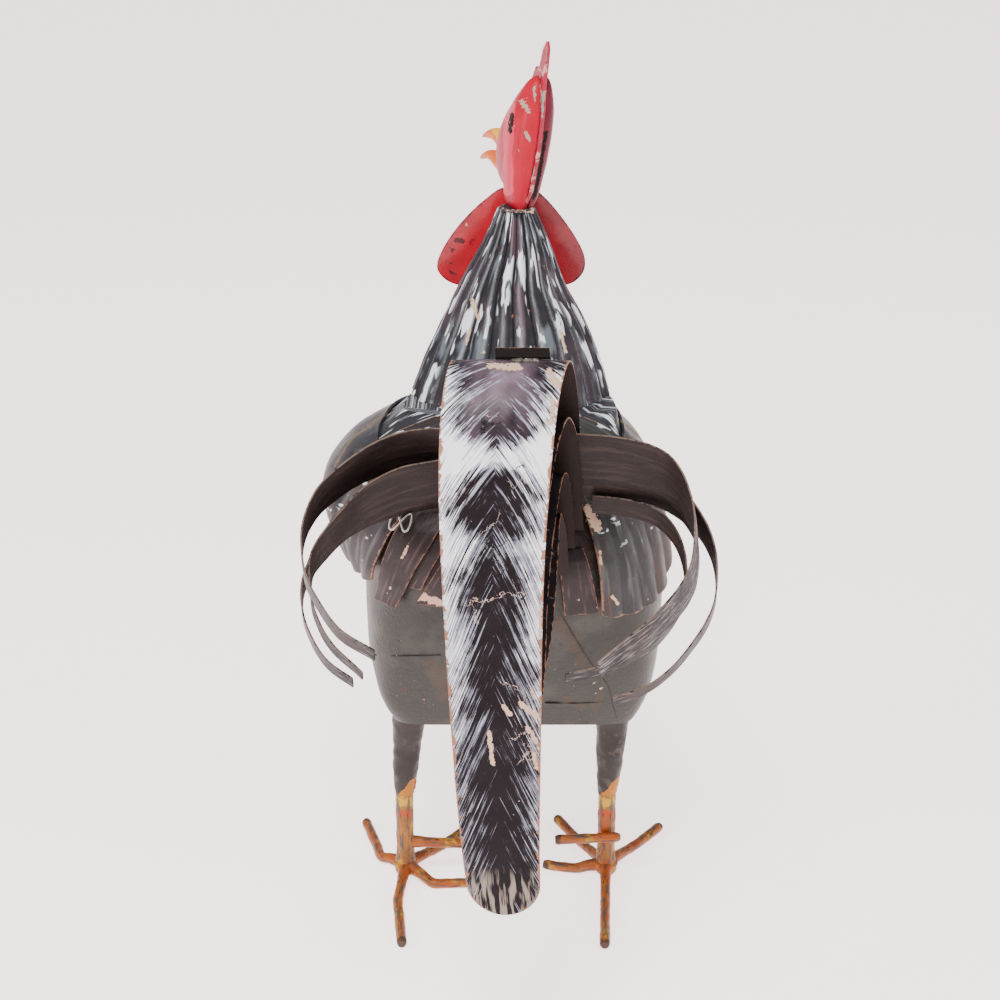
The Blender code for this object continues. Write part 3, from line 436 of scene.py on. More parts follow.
def painted_iron(name, base, clouds, layers, roughness=0.5, metallic=0.0, relief=0.00025, coat=0.0,
                 shine=0.3):
    """Brush paint on sheet iron: cloudy colour, then layers of wear over it."""
    made = bpy.data.materials.new(name)
    made.use_nodes = True
    tree = made.node_tree
    shader = tree.nodes["Principled BSDF"]
    place = add_node(tree, "ShaderNodeTexCoord").outputs["Object"]
    cloudy = grain(tree, place, clouds[1], 6.0, 0.3, 0.7)
    colour = add_node(tree, "ShaderNodeMix", {"data_type": "RGBA"}, {
        "Factor": cloudy, 6: shade(base), 7: shade(clouds[0])}).outputs[2]
    rough = combine(tree, "MULTIPLY_ADD", cloudy, 0.14, roughness - 0.07)
    height = grain(tree, place, 420.0, 6.0, 0.2, 0.8)
    for layer in layers:
        mask = MASKS.get(layer["kind"], mark_mask)(tree, place, layer)
        if "only" in layer:
            mask = combine(tree, "MULTIPLY", mask, read(tree, layer["only"]))
        mask = combine(tree, "MULTIPLY", mask, layer.get("strength", 1.0))
        colour = add_node(tree, "ShaderNodeMix", {"data_type": "RGBA"}, {
            "Factor": mask, 6: colour, 7: linear(layer["colour"])}).outputs[2]
        rough = add_node(tree, "ShaderNodeMix", {"data_type": "FLOAT"}, {
            "Factor": mask, 2: rough, 3: layer.get("rough", roughness)}).outputs[0]
        height = combine(tree, "MULTIPLY_ADD", mask, layer.get("lift", 0.6), height)
    bump = add_node(tree, "ShaderNodeBump", (), {
        "Height": height, "Strength": 0.55, "Distance": relief})
    tree.links.new(colour, shader.inputs["Base Color"])
    tree.links.new(rough, shader.inputs["Roughness"])
    tree.links.new(bump.outputs[0], shader.inputs["Normal"])
    shader.inputs["Metallic"].default_value = metallic
    shader.inputs["Specular IOR Level"].default_value = shine
    shader.inputs["Coat Weight"].default_value = coat
    shader.inputs["Coat Roughness"].default_value = 0.25
    return made


def patch(colour, scale, start, soft=0.06, **more):
    """A layer of cloudy patches, so many per metre."""
    return {"kind": "patch", "colour": colour, "scale": scale, "start": start, "soft": soft} | more


def streak(colour, across, along, start, soft, **more):
    """A layer of brush strokes, so many per millimetre across and along."""
    return {"kind": "streak", "colour": colour, "across": across, "along": along,
            "start": start, "soft": soft} | more


def mark(kind, colour, **more):
    """A layer that follows numbers painted on the piece's points."""
    return {"kind": kind, "colour": colour} | more


# Wear and marks that most pieces share; the dark marks are dark paint, and painted shade
# beside the comb.
BARE = mark("bare", "#cfae94", rough=0.75, lift=-2.5)
DARK_PAINT_AND_SHADE = mark("dark", "#140d0d", rough=0.7, lift=-0.5)
RUST = mark("rust", "#4e3d30", rough=0.8, scale=130.0, ragged=1.3, strength=0.4)
EDGE = mark("edge", "#8d6652", rough=0.6, width=2.6, scale=260.0)
FLECK = patch("#a08c7e", 260.0, 0.70, 0.02, rough=0.7)
# Pale strokes that follow the pleats of the hackle and cross the shoulders.
STROKES = (
    streak("#6d777e", 0.17, 0.035, 0.55, 0.10, rough=0.4, strength=0.7, seed=2.0),
    streak("#dfe5e9", 0.16, 0.036, 0.575, 0.03, rough=0.5, seed=7.0, lift=1.2),
    streak("#cfd8de", 0.26, 0.045, 0.62, 0.03, rough=0.5, seed=11.0, lift=1.2),
)


def feather_finishes(look):
    """Finishes of the tail feathers, the side feathers and the strap."""
    made = {}
    # Black enamel, scratched through to bright iron along painted barbs: a satin dark
    # ground with fine pale lines that crowd into two bands of painted highlight, copper
    # coloured bare edges and hairline cracks.
    made["tail"] = painted_iron(
        "scratched_black_enamel_on_iron", look.feather_colour, ("#1b1318", 60.0), [
            streak("#8c7684", 0.04, 0.03, 0.30, 0.3, only="mauve", strength=0.75, rough=0.35,
                   lift=0.0),
            mark("barbs", "#9a9eac", fine=0.42, length=0.045, gain=0.30, hold=0.225, rough=0.3,
                 lift=-0.6, soft=0.09),
            mark("barbs", "#f6f7fc", fine=0.60, length=0.04, gain=0.42, hold=0.37, rough=0.25,
                 lift=-0.6, soft=0.05),
            mark("crackle", "#120c0f", scale=42.0, bend=0.010, thin=0.014, rough=0.6, lift=-1.5),
            mark("crackle", "#c9b0a6", scale=27.0, bend=0.014, thin=0.007, rough=0.6, lift=-1.5),
            streak("#9d9184", 0.35, 0.04, 0.47, 0.08, strength=0.75, seed=12.0, only="tip"),
            FLECK | {"scale": 330.0, "start": 0.715, "colour": "#caa596"},
            EDGE | {"width": 3.0, "colour": "#9c705a"}, BARE,
            mark("under", "#2a201e", rough=0.6, lift=0.0, ragged=0.0),
        ], roughness=0.38, shine=0.12)
    # Thin black enamel over brown primer, rubbed grey in lines along the feather.
    made["side"] = painted_iron(
        "rubbed_black_enamel_on_iron", "#1f1b1b", ("#131010", 70.0), [
            streak("#85827f", 0.9, 0.05, 0.57, 0.1, rough=0.4, strength=0.7),
            FLECK | {"scale": 300.0, "start": 0.69},
            mark("under", "#2b211f", rough=0.55, lift=0.0, ragged=0.0, strength=0.92),
            streak("#4a3a35", 0.25, 0.03, 0.5, 0.2, strength=0.5, seed=4.0),
            streak("#a8a39f", 0.7, 0.06, 0.56, 0.06, strength=0.5, seed=8.0, only="rubbed"),
            EDGE | {"width": 0.9, "colour": "#6f5d52"}, BARE,
        ], roughness=0.42, shine=0.2)
    # Dull black iron, darkened to near black as painted shade of the tab's shadowed underside, with
    # a brown edge.
    made["strap"] = painted_iron("black_iron_with_painted_shade", "#0c0a09", ("#171310", 120.0), [
        EDGE | {"width": 1.2}], roughness=0.6, shine=0.1)
    return made


def plumage_finishes(look):
    """Finishes of the hackle, wings, saddles and rump."""
    made = {}
    # Slate grey brush paint with plum shadows, orange flecks and pale strokes on the
    # pleats.
    made["hackle"] = painted_iron(
        "slate_brush_paint_with_pale_strokes", look.slate_colour, ("#17161b", 40.0), [
            mark("plum", "#4c343e", rough=0.45, ragged=0.6, strength=0.7, scale=90.0, lift=0.0),
            patch("#4a3a42", 30.0, 0.5, 0.2, strength=0.6, lift=0.0),
            *[stroke | {"only": "ridge"} for stroke in STROKES],
            FLECK | {"colour": "#a8743f", "scale": 200.0, "start": 0.69}, BARE,
        ], roughness=0.36, metallic=0.1, coat=0.1)
    # Plain slate paint, rubbed to a yellowish line near the edge.
    made["wing"] = painted_iron(
        "plain_slate_paint_on_iron", "#343438", ("#242328", 30.0), [
            patch("#626165", 90.0, 0.55, 0.15, strength=0.5),
            EDGE | {"width": 1.4, "colour": "#7d7064"}, FLECK,
            BARE | {"colour": "#7d6a4f", "ragged": 1.3, "strength": 0.8}, DARK_PAINT_AND_SHADE,
        ], roughness=0.40, metallic=0.15)
    # Brushed slate paint with brown streaks and pale strokes near the top: plum on the
    # left saddle, a greener grey on the right one.
    for side, base, dim in (("left", "#352e31", "#221c20"), ("right", "#3a3c3b", "#272626")):
        made["saddle_" + side] = painted_iron(
            "brushed_paint_on_pleated_iron_" + side, base, (dim, 34.0), [
                streak("#64625f", 0.20, 0.02, 0.52, 0.15, strength=0.6, seed=5.0),
                streak("#44322a", 0.12, 0.02, 0.55, 0.1, strength=0.6, seed=9.0),
                streak("#c8d0d6", 0.09, 0.16, 0.63, 0.03, seed=3.0, only="high"),
                mark("white", "#c8d0d6", rough=0.5, scale=160.0),
                EDGE | {"width": 1.6}, FLECK, BARE,
            ], roughness=0.40, metallic=0.15)
    # Plum brown primer with lighter streaks, chipped to bare metal.
    made["rump"] = painted_iron(
        "worn_plum_brown_primer", "#2c1f1e", ("#1b1417", 50.0), [
            streak("#5b4744", 0.3, 0.03, 0.52, 0.15, strength=0.6),
            EDGE | {"width": 1.1, "colour": "#7c5544"}, FLECK, RUST, BARE | {"colour": "#cba08c"},
        ], roughness=0.5, metallic=0.1)
    return made


def body_finishes(look):
    """Finishes of the body and its seams."""
    made = {}
    # Smoked olive grey lacquer over bare sheet: broad soft clouds, rusty stains and fine
    # specks. The shoulders carry the slate paint and the strokes of the hackle.
    made["body"] = painted_iron(
        "smoked_olive_lacquer_on_iron", look.body_colour, ("#2b2925", 16.0), [
            patch("#55534a", 26.0, 0.5, 0.2, strength=0.5, lift=0.0),
            patch("#43372e", 60.0, 0.58, 0.15, strength=0.5, lift=0.0),
            RUST, FLECK | {"scale": 200.0, "start": 0.735}, BARE,
            mark("rump", "#2f2221", rough=0.45, scale=60.0, lift=0.8),
            mark("upper", "#2e2e33", rough=0.4, scale=120.0, lift=0.0),
            *[stroke | {"only": "upper"} for stroke in STROKES],
            patch("#15130f", 190.0, 0.64, 0.04, strength=0.5),
            patch("#77736a", 420.0, 0.67, 0.04, strength=0.5),
        ], roughness=0.38, metallic=0.2, relief=0.0004)
    # A dark line where two sheets of the body lap.
    made["seam"] = painted_iron("dark_lapped_seam", "#38342e", ("#26231f", 90.0), [
        FLECK], roughness=0.6, metallic=0.3)
    return made


def head_finishes(look):
    """Finishes of the head halves, comb, wattles and beak."""
    made = {}
    red_layers = [
        patch("#7c0c1c", 55.0, 0.55, 0.2, strength=0.45, lift=0.0),
        mark("painted_highlight", "#e0405e", rough=0.35, ragged=0.6, strength=0.5, scale=60.0, lift=0.0),
        FLECK | {"colour": "#e8a8a4", "scale": 230.0, "start": 0.71},
        BARE | {"colour": "#a8917f", "ragged": 1.2, "scale": 600.0}, DARK_PAINT_AND_SHADE,
    ]
    # Red enamel with crimson clouds and chips, in its lit tone, with a painted pink highlight down
    # the left edge.
    made["head_left"] = painted_iron(
        "gloss_red_enamel", look.head_colour, ("#b41230", 38.0), red_layers,
        roughness=0.40, coat=0.06, shine=0.15)
    # The same enamel with painted shade: dull and wine red on the half turned from the light.
    made["head_painted_shade"] = painted_iron(
        "red_enamel_painted_shade", "#5c1020", ("#74202f", 40.0), red_layers, roughness=0.4, shine=0.15)
    # Crimson enamel worn to a pale pink on the comb's edge.
    made["ridge"] = painted_iron(
        "worn_pink_enamel_ridge", "#a81e38", ("#8c1228", 90.0), [
            patch("#d08c86", 130.0, 0.56, 0.05), BARE | {"colour": "#8c8a7e"}, DARK_PAINT_AND_SHADE],
        roughness=0.4, coat=0.2)
    # Bright red gloss enamel with wine red blots and a dark edge.
    made["wattle_left"] = painted_iron(
        "bright_red_enamel", look.wattle_colour, ("#92081a", 60.0), [
            patch("#5e0610", 110.0, 0.6, 0.08, strength=0.7),
            EDGE | {"width": 1.6, "colour": "#44080e"}, BARE, DARK_PAINT_AND_SHADE | {"colour": "#4c0610"}],
        roughness=0.35, coat=0.3)
    # A deeper red gloss enamel with a dark edge.
    made["wattle_right"] = painted_iron(
        "deep_red_enamel", "#960e1e", ("#720816", 60.0), [
            patch("#520610", 90.0, 0.6, 0.1, strength=0.7),
            EDGE | {"width": 1.6, "colour": "#3a060c"}, DARK_PAINT_AND_SHADE | {"colour": "#20060a"}],
        roughness=0.38, coat=0.3)
    # Orange enamel, yellow on top and brown underneath and at the tip.
    made["beak"] = painted_iron(
        "yellow_and_orange_enamel", "#cf5410", ("#dc6c20", 90.0), [
            mark("upper_face", "#f0b000", rough=0.4, ragged=0.3, scale=200.0),
            mark("under_face", "#8c3a1e", rough=0.5, ragged=0.3, scale=200.0),
            mark("tip_face", "#cc5226", rough=0.5, ragged=0.5, scale=300.0)],
        roughness=0.42, shine=0.2)
    return made


def leg_finishes():
    """Finishes of the legs, the welds and the wire."""
    made = {}
    # Dark lacquer smoked over rough iron, with an ochre splash at the knee.
    made["thigh"] = painted_iron(
        "smoked_dark_lacquer", "#37332f", ("#24211e", 60.0), [
            patch("#4c463f", 120.0, 0.55, 0.15),
            patch("#7a4420", 70.0, 0.64, 0.05, strength=0.6),
            mark("ochre", "#a86c1c", ragged=0.8, scale=120.0, lift=0.4)],
        roughness=0.45, metallic=0.3)
    ochre = [
        patch("#a8480e", 70.0, 0.50, 0.12, strength=0.8),
        patch("#b88c1c", 85.0, 0.56, 0.08, strength=0.8),
        mark("yellow", "#c49a18", scale=150.0, strength=0.9),
        mark("orange", "#b03a08", scale=150.0, strength=0.9),
        streak("#4f483d", 0.30, 0.06, 0.50, 0.07, strength=0.85),
        streak("#221e1a", 0.40, 0.09, 0.60, 0.05, strength=0.8, seed=6.0),
        mark("worn_end", "#332f29", rough=0.55, scale=180.0, strength=0.85)]
    # Ochre paint in thin coats with a yellow and an orange band, rubbed to grey iron.
    made["shank"] = painted_iron(
        "banded_ochre_paint_on_rod", "#a06a22", ("#7c4a1c", 100.0), ochre, roughness=0.42)
    # The same coats over a redder orange, bare at the ends.
    made["toe"] = painted_iron(
        "rubbed_orange_paint_on_rod", "#a65e24", ("#8a421a", 100.0), ochre, roughness=0.42)
    # Grey weld metal with pale, shiny spots.
    made["weld"] = painted_iron(
        "burnt_weld_metal", "#6b655f", ("#3c3835", 300.0), [
            patch("#b9ab9b", 260.0, 0.55, 0.08)], roughness=0.45, metallic=0.6)
    # Pale zinc coated wire.
    made["wire"] = painted_iron(
        "galvanised_wire", "#cfcac1", ("#a8a196", 400.0), [], roughness=0.4, metallic=0.5)
    return made


def floor_finish(look):
    """Matt paper floor of a light tent: it glows a little, as lit from below."""
    made = painted_iron("matt_pale_paper", look.floor_colour, (look.floor_colour, 3.0), [],
                        roughness=0.9, relief=0.00001)
    glow = made.node_tree.nodes["Principled BSDF"]
    glow.inputs["Emission Color"].default_value = shade(look.floor_colour)
    glow.inputs["Emission Strength"].default_value = 2.0
    return {"floor": made}


def finishes(look):
    """All materials of the bird, by the name that the pieces use."""
    return (feather_finishes(look) | plumage_finishes(look) | body_finishes(look)
            | head_finishes(look) | leg_finishes() | floor_finish(look))


def spline(rows, key):
    """Smooth values of the rows' columns at keys, where column 0 is the key."""
    rows = np.asarray(rows, float)
    key = np.asarray(key, float)
    keys, values = rows[:, 0], rows[:, 1:]
    slopes = np.empty_like(values)
    slopes[1:-1] = (values[2:] - values[:-2]) / (keys[2:] - keys[:-2])[:, None]
    slopes[0] = (values[1] - values[0]) / (keys[1] - keys[0])
    slopes[-1] = (values[-1] - values[-2]) / (keys[-1] - keys[-2])
    i = np.clip(np.searchsorted(keys, key, side="right") - 1, 0, len(keys) - 2)
    span = (keys[i + 1] - keys[i])[..., None]
    f = (key - keys[i])[..., None] / span
    return ((2 * f**3 - 3 * f**2 + 1) * values[i] + (f**3 - 2 * f**2 + f) * span * slopes[i]
            + (3 * f**2 - 2 * f**3) * values[i + 1] + (f**3 - f**2) * span * slopes[i + 1])


def along_path(points, shares):
    """Places and directions on a smooth curve through points, at shares of its length."""
    points = np.asarray(points, float)
    steps = np.linalg.norm(np.diff(points, axis=0), axis=1)
    keys = np.concatenate([[0.0], np.cumsum(steps)])
    rows = np.column_stack([keys, points])
    t = np.asarray(shares) * keys[-1]
    ahead = np.minimum(t + keys[-1] * 0.002, keys[-1])
    behind = np.maximum(ahead - keys[-1] * 0.004, 0.0)
    tangents = spline(rows, ahead) - spline(rows, behind)
    return spline(rows, t), unit(tangents), keys[-1]


def unit(vectors):
    """Vectors of length one."""
    return vectors / np.linalg.norm(vectors, axis=-1, keepdims=True)


def ramp(values, start, length):
    """Share from 0 at start to 1 a length further."""
    return np.clip((values - start) / length, 0, 1)


def share_grid(count, across):
    """Shares from 0 to 1 along the two sides of a sheet."""
    return np.meshgrid(np.linspace(0, 1, count), np.linspace(0, 1, across), indexing="ij")


def turns(count):
    """Evenly spaced angles of a full turn, in radians."""
    return np.linspace(0, 2 * np.pi, count, endpoint=False)


def both_sides(values):
    """Numbers of one side of a sheet, repeated for its other side."""
    return np.concatenate([values.ravel(), values.ravel()])


def add_object(name, data):
    """A new object at the origin of the scene."""
    made = bpy.data.objects.new(name, data)
    bpy.context.scene.collection.objects.link(made)
    return made


def ripple(points, size, amount, seed=0.0):
    """Smooth hand-beaten unevenness at each point, in millimetres."""
    flat = points.reshape(-1, 3)
    values = [noise.noise(Vector((p[0] / size + seed, p[1] / size, p[2] / size))) for p in flat]
    return np.array(values).reshape(points.shape[:-1]) * amount


def seen_at(points):
    """Where the camera sees points given in metres, in picture pixels."""
    away = points - (CAMERA_PLACE + SHIFT)
    c, s = math.cos(CAMERA_DOWN), math.sin(CAMERA_DOWN)
    depth = -away[:, 1] * c - away[:, 2] * s
    right = HALF_FRAME - CAMERA_PIXELS * away[:, 0] / depth
    down = HALF_FRAME - CAMERA_PIXELS * (away[:, 2] * c - away[:, 1] * s) / depth
    return np.column_stack([right, down])


def mark_strength(pixels, marks):
    """How strongly drawn marks cover each point, 1 in their middle."""
    best = np.zeros(len(pixels))
    for drawn in marks:
        line, reach = np.array(drawn[:-1], float).reshape(-1, 2), drawn[-1]
        starts = line[:-1] if len(line) > 1 else line
        ends = line[1:] if len(line) > 1 else line
        for a, b in zip(starts, ends):
            run = b - a
            f = np.clip(((pixels - a) @ run) / max(run @ run, 1e-9), 0, 1)
            gap = np.linalg.norm(pixels - a - f[:, None] * run, axis=1)
            best = np.maximum(best, np.clip(1.25 - 0.75 * gap / reach, 0, 1))
    return best


def make_piece(name, points, faces, material, slot, nodes, painted=(), crease=40.0):
    """A finished mesh piece: points in drawn millimetres, numbers painted on them."""
    mesh = bpy.data.meshes.new(name)
    world = np.asarray(points, float) * MM + SHIFT
    mesh.from_pydata([tuple(p) for p in world], [], [tuple(int(i) for i in f) for f in faces])
    shape = bmesh.new()
    shape.from_mesh(mesh)
    bmesh.ops.recalc_face_normals(shape, faces=shape.faces)
    shape.to_mesh(mesh)
    shape.free()
    painted = dict(painted)
    towards = unit(CAMERA_PLACE + SHIFT - world)
    normals = np.array([n.vector for n in mesh.vertex_normals])
    facing = (normals * towards).sum(axis=1) > -0.15
    pixels = seen_at(world)
    for kind, marks in MARKS.get(name, {}).items():
        painted[kind] = mark_strength(pixels, marks) * facing
    for kind, values in painted.items():
        layer = mesh.attributes.new(kind, "FLOAT", "POINT")
        layer.data.foreach_set("value", np.asarray(values, np.float32).ravel())
    mesh.shade_smooth()
    mesh.set_sharp_from_angle(angle=math.radians(crease))
    mesh.materials.append(material)
    made = add_object(name + "_skin", mesh)
    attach(made, "root")
    if nodes:
        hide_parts(*nodes)
    return made


def grid_faces(count, across, wrap=False):
    """Four-sided faces of a grid of points, closed round if wrapped."""
    index = np.arange(count * across).reshape(count, across)
    if wrap:
        index = np.column_stack([index, index[:, 0]])
    return np.stack([index[:-1, :-1], index[1:, :-1], index[1:, 1:], index[:-1, 1:]],
                    -1).reshape(-1, 4)


def two_sided(outer, inner):
    """Points and faces of a thin sheet between two grids of points."""
    count, across = outer.shape[:2]
    shift = count * across
    index = np.arange(shift).reshape(count, across)
    rim = np.concatenate([index[:-1, 0], index[-1, :-1], index[:0:-1, -1], index[0, :0:-1]])
    ahead = np.roll(rim, -1)
    faces = grid_faces(count, across)
    sides = np.stack([rim, rim + shift, ahead + shift, ahead], -1)
    points = np.concatenate([outer.reshape(-1, 3), inner.reshape(-1, 3)])
    return points, np.concatenate([faces, faces[:, ::-1] + shift, sides])


def tube(rings):
    """Points and faces of a closed tube through rings of points."""
    count, across = rings.shape[:2]
    faces = grid_faces(count, across, wrap=True).tolist()
    faces.append(list(range(across)))
    faces.append(list(range((count - 1) * across, count * across)))
    return rings.reshape(-1, 3), faces


def body_skin(angle, height):
    """Points of the body's outline at angles in degrees and heights."""
    left, right, front, back, square = np.moveaxis(spline(BODY_ROWS, height), -1, 0)
    c, s = np.cos(np.radians(angle)), np.sin(np.radians(angle))
    reach_x = np.where(c > 0, left, right)
    reach_y = np.where(s > 0, back, front)
    radius = ((abs(c) / reach_x) ** square + (abs(s) / reach_y) ** square) ** (-1 / square)
    return np.stack([radius * c, radius * s, height], -1)


def draped(angle, height, out):
    """Points that lie a distance outside the body's skin."""
    low = np.maximum(height - 0.5, BODY_BOTTOM)
    high = np.minimum(height + 0.5, BODY_TOP)
    around = body_skin(angle + 0.5, height) - body_skin(angle - 0.5, height)
    upward = body_skin(angle, high) - body_skin(angle, low)
    return body_skin(angle, height) + unit(np.cross(around, upward)) * np.asarray(out)[..., None]


def on_body(route):
    """Places on the body's skin that the camera sees at a route's pixels."""
    angle, height = np.meshgrid(np.linspace(15, 165, 500), np.linspace(BODY_BOTTOM, 300.0, 400))
    skin = body_skin(angle, height)
    pixels = seen_at(skin.reshape(-1, 3) * MM + SHIFT)
    nearest = [np.argmin(np.linalg.norm(pixels - np.array(at), axis=1)) for at in route]
    return draped(angle.ravel()[nearest], height.ravel()[nearest], np.full(len(route), 0.2))


def drape_piece(name, angle, height, out, material, slot):
    """A thin sheet lying on the body, from grids of angle, height and distance."""
    rise = (height - height[:, -1:]) / (height[:, :1] - height[:, -1:])
    # It lies close to the body at its top and stands off below.
    out = out * (0.35 + 0.65 * np.clip((1 - rise) * 6.0, 0, 1))
    inner = draped(angle, height, out)
    wave = ripple(inner, 22.0, 0.5) + ripple(inner, 7.0, 0.12, 5.0)
    inner = draped(angle, height, out + wave)
    outer = draped(angle, height, out + wave + SHEET)
    steps = np.linalg.norm(np.diff(outer, axis=0), axis=2).mean(axis=1)
    run = np.concatenate([[0.0], np.cumsum(steps)])[:, None] * np.ones(outer.shape[1])
    level = outer[:, :, 2]
    edge = np.minimum(np.minimum(run, run[-1, 0] - run), level - level[:, -1:] + 0.01)
    painted = {"across": run, "along": level[:, :1] - level, "edge": edge,
               "high": ramp(level, 262.0, 14.0)}
    painted = {kind: both_sides(values) for kind, values in painted.items()}
    make_piece(name, *two_sided(outer, inner), material, slot, [name], painted)


def fanned(angle, v):
    """Angles of a rump sheet that draws in towards the tail from hem to top."""
    away = angle - 90.0
    fan = np.where(away < 0, 0.58, 0.84)
    full = fan + (1 - fan) * ramp(abs(away), 51.0, 20.0)
    return 90.0 + away * (full + (1 - full) * v)


def build_wings(paints):
    """Shoulder sheets, rounded at both ends."""
    u, v = share_grid(110, 44)
    round_off = abs(np.sin(np.pi * u)) ** 0.5
    top = WING_END_TOP + (WING_TOP - WING_END_TOP) * round_off
    hem = WING_END_HEM + (WING_HEM + WING_RISE * u - WING_END_HEM) * round_off
    for name, (front, tail) in WINGS.items():
        drape_piece(name, front + (tail - front) * u, top + (hem - top) * v,
                    np.full(u.shape, CLEAR), paints["wing"], "slate_paint")


def build_saddles(paints):
    """Pleated sheets over the back."""
    for name, (first, last, pleats) in SADDLES.items():
        u, v = share_grid(pleats * 16 + 1, 60)
        angle = first + (last - first) * u
        hem = spline(SADDLE_HEM, angle)[..., 0]
        out = CLEAR + LAYER + SADDLE_PLEAT * abs(np.sin(np.pi * pleats * u)) * v
        drape_piece(name, fanned(angle, v), SADDLE_TOP + (hem - SADDLE_TOP) * v, out,
                    paints[name], "slate_paint")


def build_rump(paints):
    """Cut strips that hang over the rump."""
    u, v = share_grid(18, 50)
    for name, (first, last, top, hem, layer) in RUMP_FEATHERS.items():
        # The first strip carries on from the saddle's edge without a gap.
        widened = STRIP_WIDENED * (1 - v) * (1 - u) * (name == "rump_feather_left_1")
        drape_piece(name, fanned(first + (last - first) * u, v) - widened, top + (hem - top) * v,
                    np.full(u.shape, CLEAR + layer * LAYER), paints["rump"], "plum_primer")


def build_bucket(paints):
    """The closed body, with the hackle's paint on its shoulders."""
    angle, height = np.meshgrid(np.linspace(0, 360, 240, endpoint=False),
                                np.linspace(BODY_BOTTOM, BODY_TOP, 120))
    beaten = ripple(body_skin(angle, height), 38.0, 0.9) * ramp(height, BODY_BOTTOM, 20.0)
    # The rump's plum paint shows on both sides of the tail.
    behind = np.clip(1.2 - abs(abs(angle - 88.0) - 24.0) / 22.0, 0, 1)
    painted = {"across": 1.5 * angle, "along": height, "upper": ramp(height, 292.0, 10.0),
               "rump": behind * ramp(height, 244.0, 12.0)}
    make_piece("body", *tube(draped(angle, height, np.minimum(beaten, 0.6))), paints["body"],
               "olive_grey_iron", ["body"], painted)


def build_hackle(paints):
    """The pleated cone of the neck."""
    turn, height = np.meshgrid(turns(320), np.linspace(BODY_TOP, NECK_TOP, 84))
    x, y, half_width, half_depth = np.moveaxis(spline(NECK_ROWS, height), -1, 0)
    pleat = abs(np.sin(NECK_PLEATS * turn / 2)) ** 0.65
    crease = PLEAT_DEPTH * (1 - pleat) * (half_width / NECK_ROWS[0][3]) ** 0.5
    ring = np.stack([x + (half_width - crease) * np.cos(turn),
                     y + (half_depth - crease) * np.sin(turn),
                     np.maximum(height, BODY_TOP + GAP)], -1)
    middle = np.stack([x, y, height], -1)
    ring += unit(ring - middle) * ripple(ring, 9.0, 0.35)[..., None]
    painted = {"across": turn * 30.0, "along": height, "ridge": ramp(pleat, 0.45, 0.3)}
    make_piece("neck", *tube(ring), paints["hackle"], "slate_paint", ["neck"], painted, 60.0)


def feather_paint(low, half, a, along, shown, rubbed):
    """Numbers that place a feather's barbs, painted highlight bands and wear, from the points'
    picture rows.
    """
    across = half[:, None] * a
    side = abs(a) * np.ones_like(along)
    # Two bands of painted highlight where the bent feather faces the light.
    white, pale = [np.exp(-((low - row) / reach) ** 2) for row, reach in (HIGHLIGHT_BAND, FAINT_HIGHLIGHT_BAND)]
    # Barbs get denser towards the edges and thin out on the crown and far down.
    fade = ramp(low, BARB_START_ROW, 30) * np.clip(1.25 - (low - FADE_ROW) / 620, 0.45, 1)
    # Barb density, raised in the bands by painted highlight.
    sheen = np.clip((0.30 + 0.55 * side**1.3) * fade + 0.55 * (white + 0.40 * pale), 0, 1)
    return {
        "across": across, "along": along,
        "barb": along - abs(across) * (0.4 + 1.9 * ramp(along, 135.0, 165.0)),
        "sheen": sheen * (1.0 if shown else 0.15),
        "edge": half[:, None] * (1 - abs(a)) * (1.0 if shown else 3.0),
        "tip": ramp(low, TIP_ROW, 14) * shown,
        "rubbed": ramp(low, RUBBED_ROW, 60) * rubbed,
        "mauve": np.clip(1.3 - side * 1.6, 0, 1) * np.clip((MAUVE_ROW - low) / 60, 0, 1) * shown,
    }


def feather_piece(name, path, widths, axis, tip, material, crown, turned):
    """A bent feather strip with beaten waves, pointed or with a round tip of some length."""
    end = tip / along_path(path, [0.0])[2]
    shares = np.linspace(0, 1, 260)
    if tip:
        angles = np.radians(np.linspace(4.0, 86.0, 18))
        shares = np.concatenate([np.linspace(0, 1 - end, 240), 1 - end * (1 - np.sin(angles))])
    centre, tangent, length = along_path(path, shares)
    keys = np.column_stack([np.linspace(0, 1, len(widths)), widths])
    half = spline(keys, shares)[:, 0] / 2
    if tip:
        left = np.clip((1 - shares) / end, 0, 1)
        half = half * np.sqrt(1 - (1 - left) ** 2)
    a = np.linspace(-1, 1, 41 if half.max() > 15 else 25)
    out = unit(np.cross(tangent, axis))
    middle = centre[:, None, :] + axis * (half[:, None] * a)[..., None]
    lift = crown * half[:, None] * (1 - abs(a))
    lift = lift + ripple(middle, 26.0, 0.7) + ripple(middle, 8.0, 0.12, 9.0)
    middle = middle + out[:, None, :] * lift[..., None]
    thick = FEATHER_SHEET / 2 * out[:, None, :]
    along = shares[:, None] * length * np.ones(len(a))
    low = seen_at((middle * MM + SHIFT).reshape(-1, 3))[:, 1].reshape(along.shape)
    painted = feather_paint(low, half, a, along, name == "tail_feather_outer",
                            name == "side_feather_right_upper")
    painted = {kind: both_sides(values) for kind, values in painted.items()}
    under = np.repeat([0.0, 1.0], along.size)
    painted["under"] = 1 - under if turned else under
    make_piece(name, *two_sided(middle + thick, middle - thick), material, "black_feather",
               [name], painted)


def build_tail(paints):
    """Four nested arched feathers in the middle."""
    for name, (path, widths, tip) in CENTRE_FEATHERS.items():
        feather_piece(name, path, widths, np.array([1.0, 0.0, 0.0]), tip, paints["tail"], -0.04,
                      True)


def build_side_feathers(paints):
    """Feathers bent round to the sides, in planes that lean back."""
    c, s = math.cos(SIDE_LEAN), math.sin(SIDE_LEAN)
    for name, (side, start_y, start_z, splay, path, widths) in SIDE_FEATHERS.items():
        points = [(side * out, start_y - back * s, start_z + back * c) for out, back in path]
        tilt = math.radians(splay)
        axis = unit(np.array([-side * math.sin(tilt), c * math.cos(tilt), s * math.cos(tilt)]))
        feather_piece(name, points, widths, axis, 0.0, paints["side"], 0.0, side < 0)


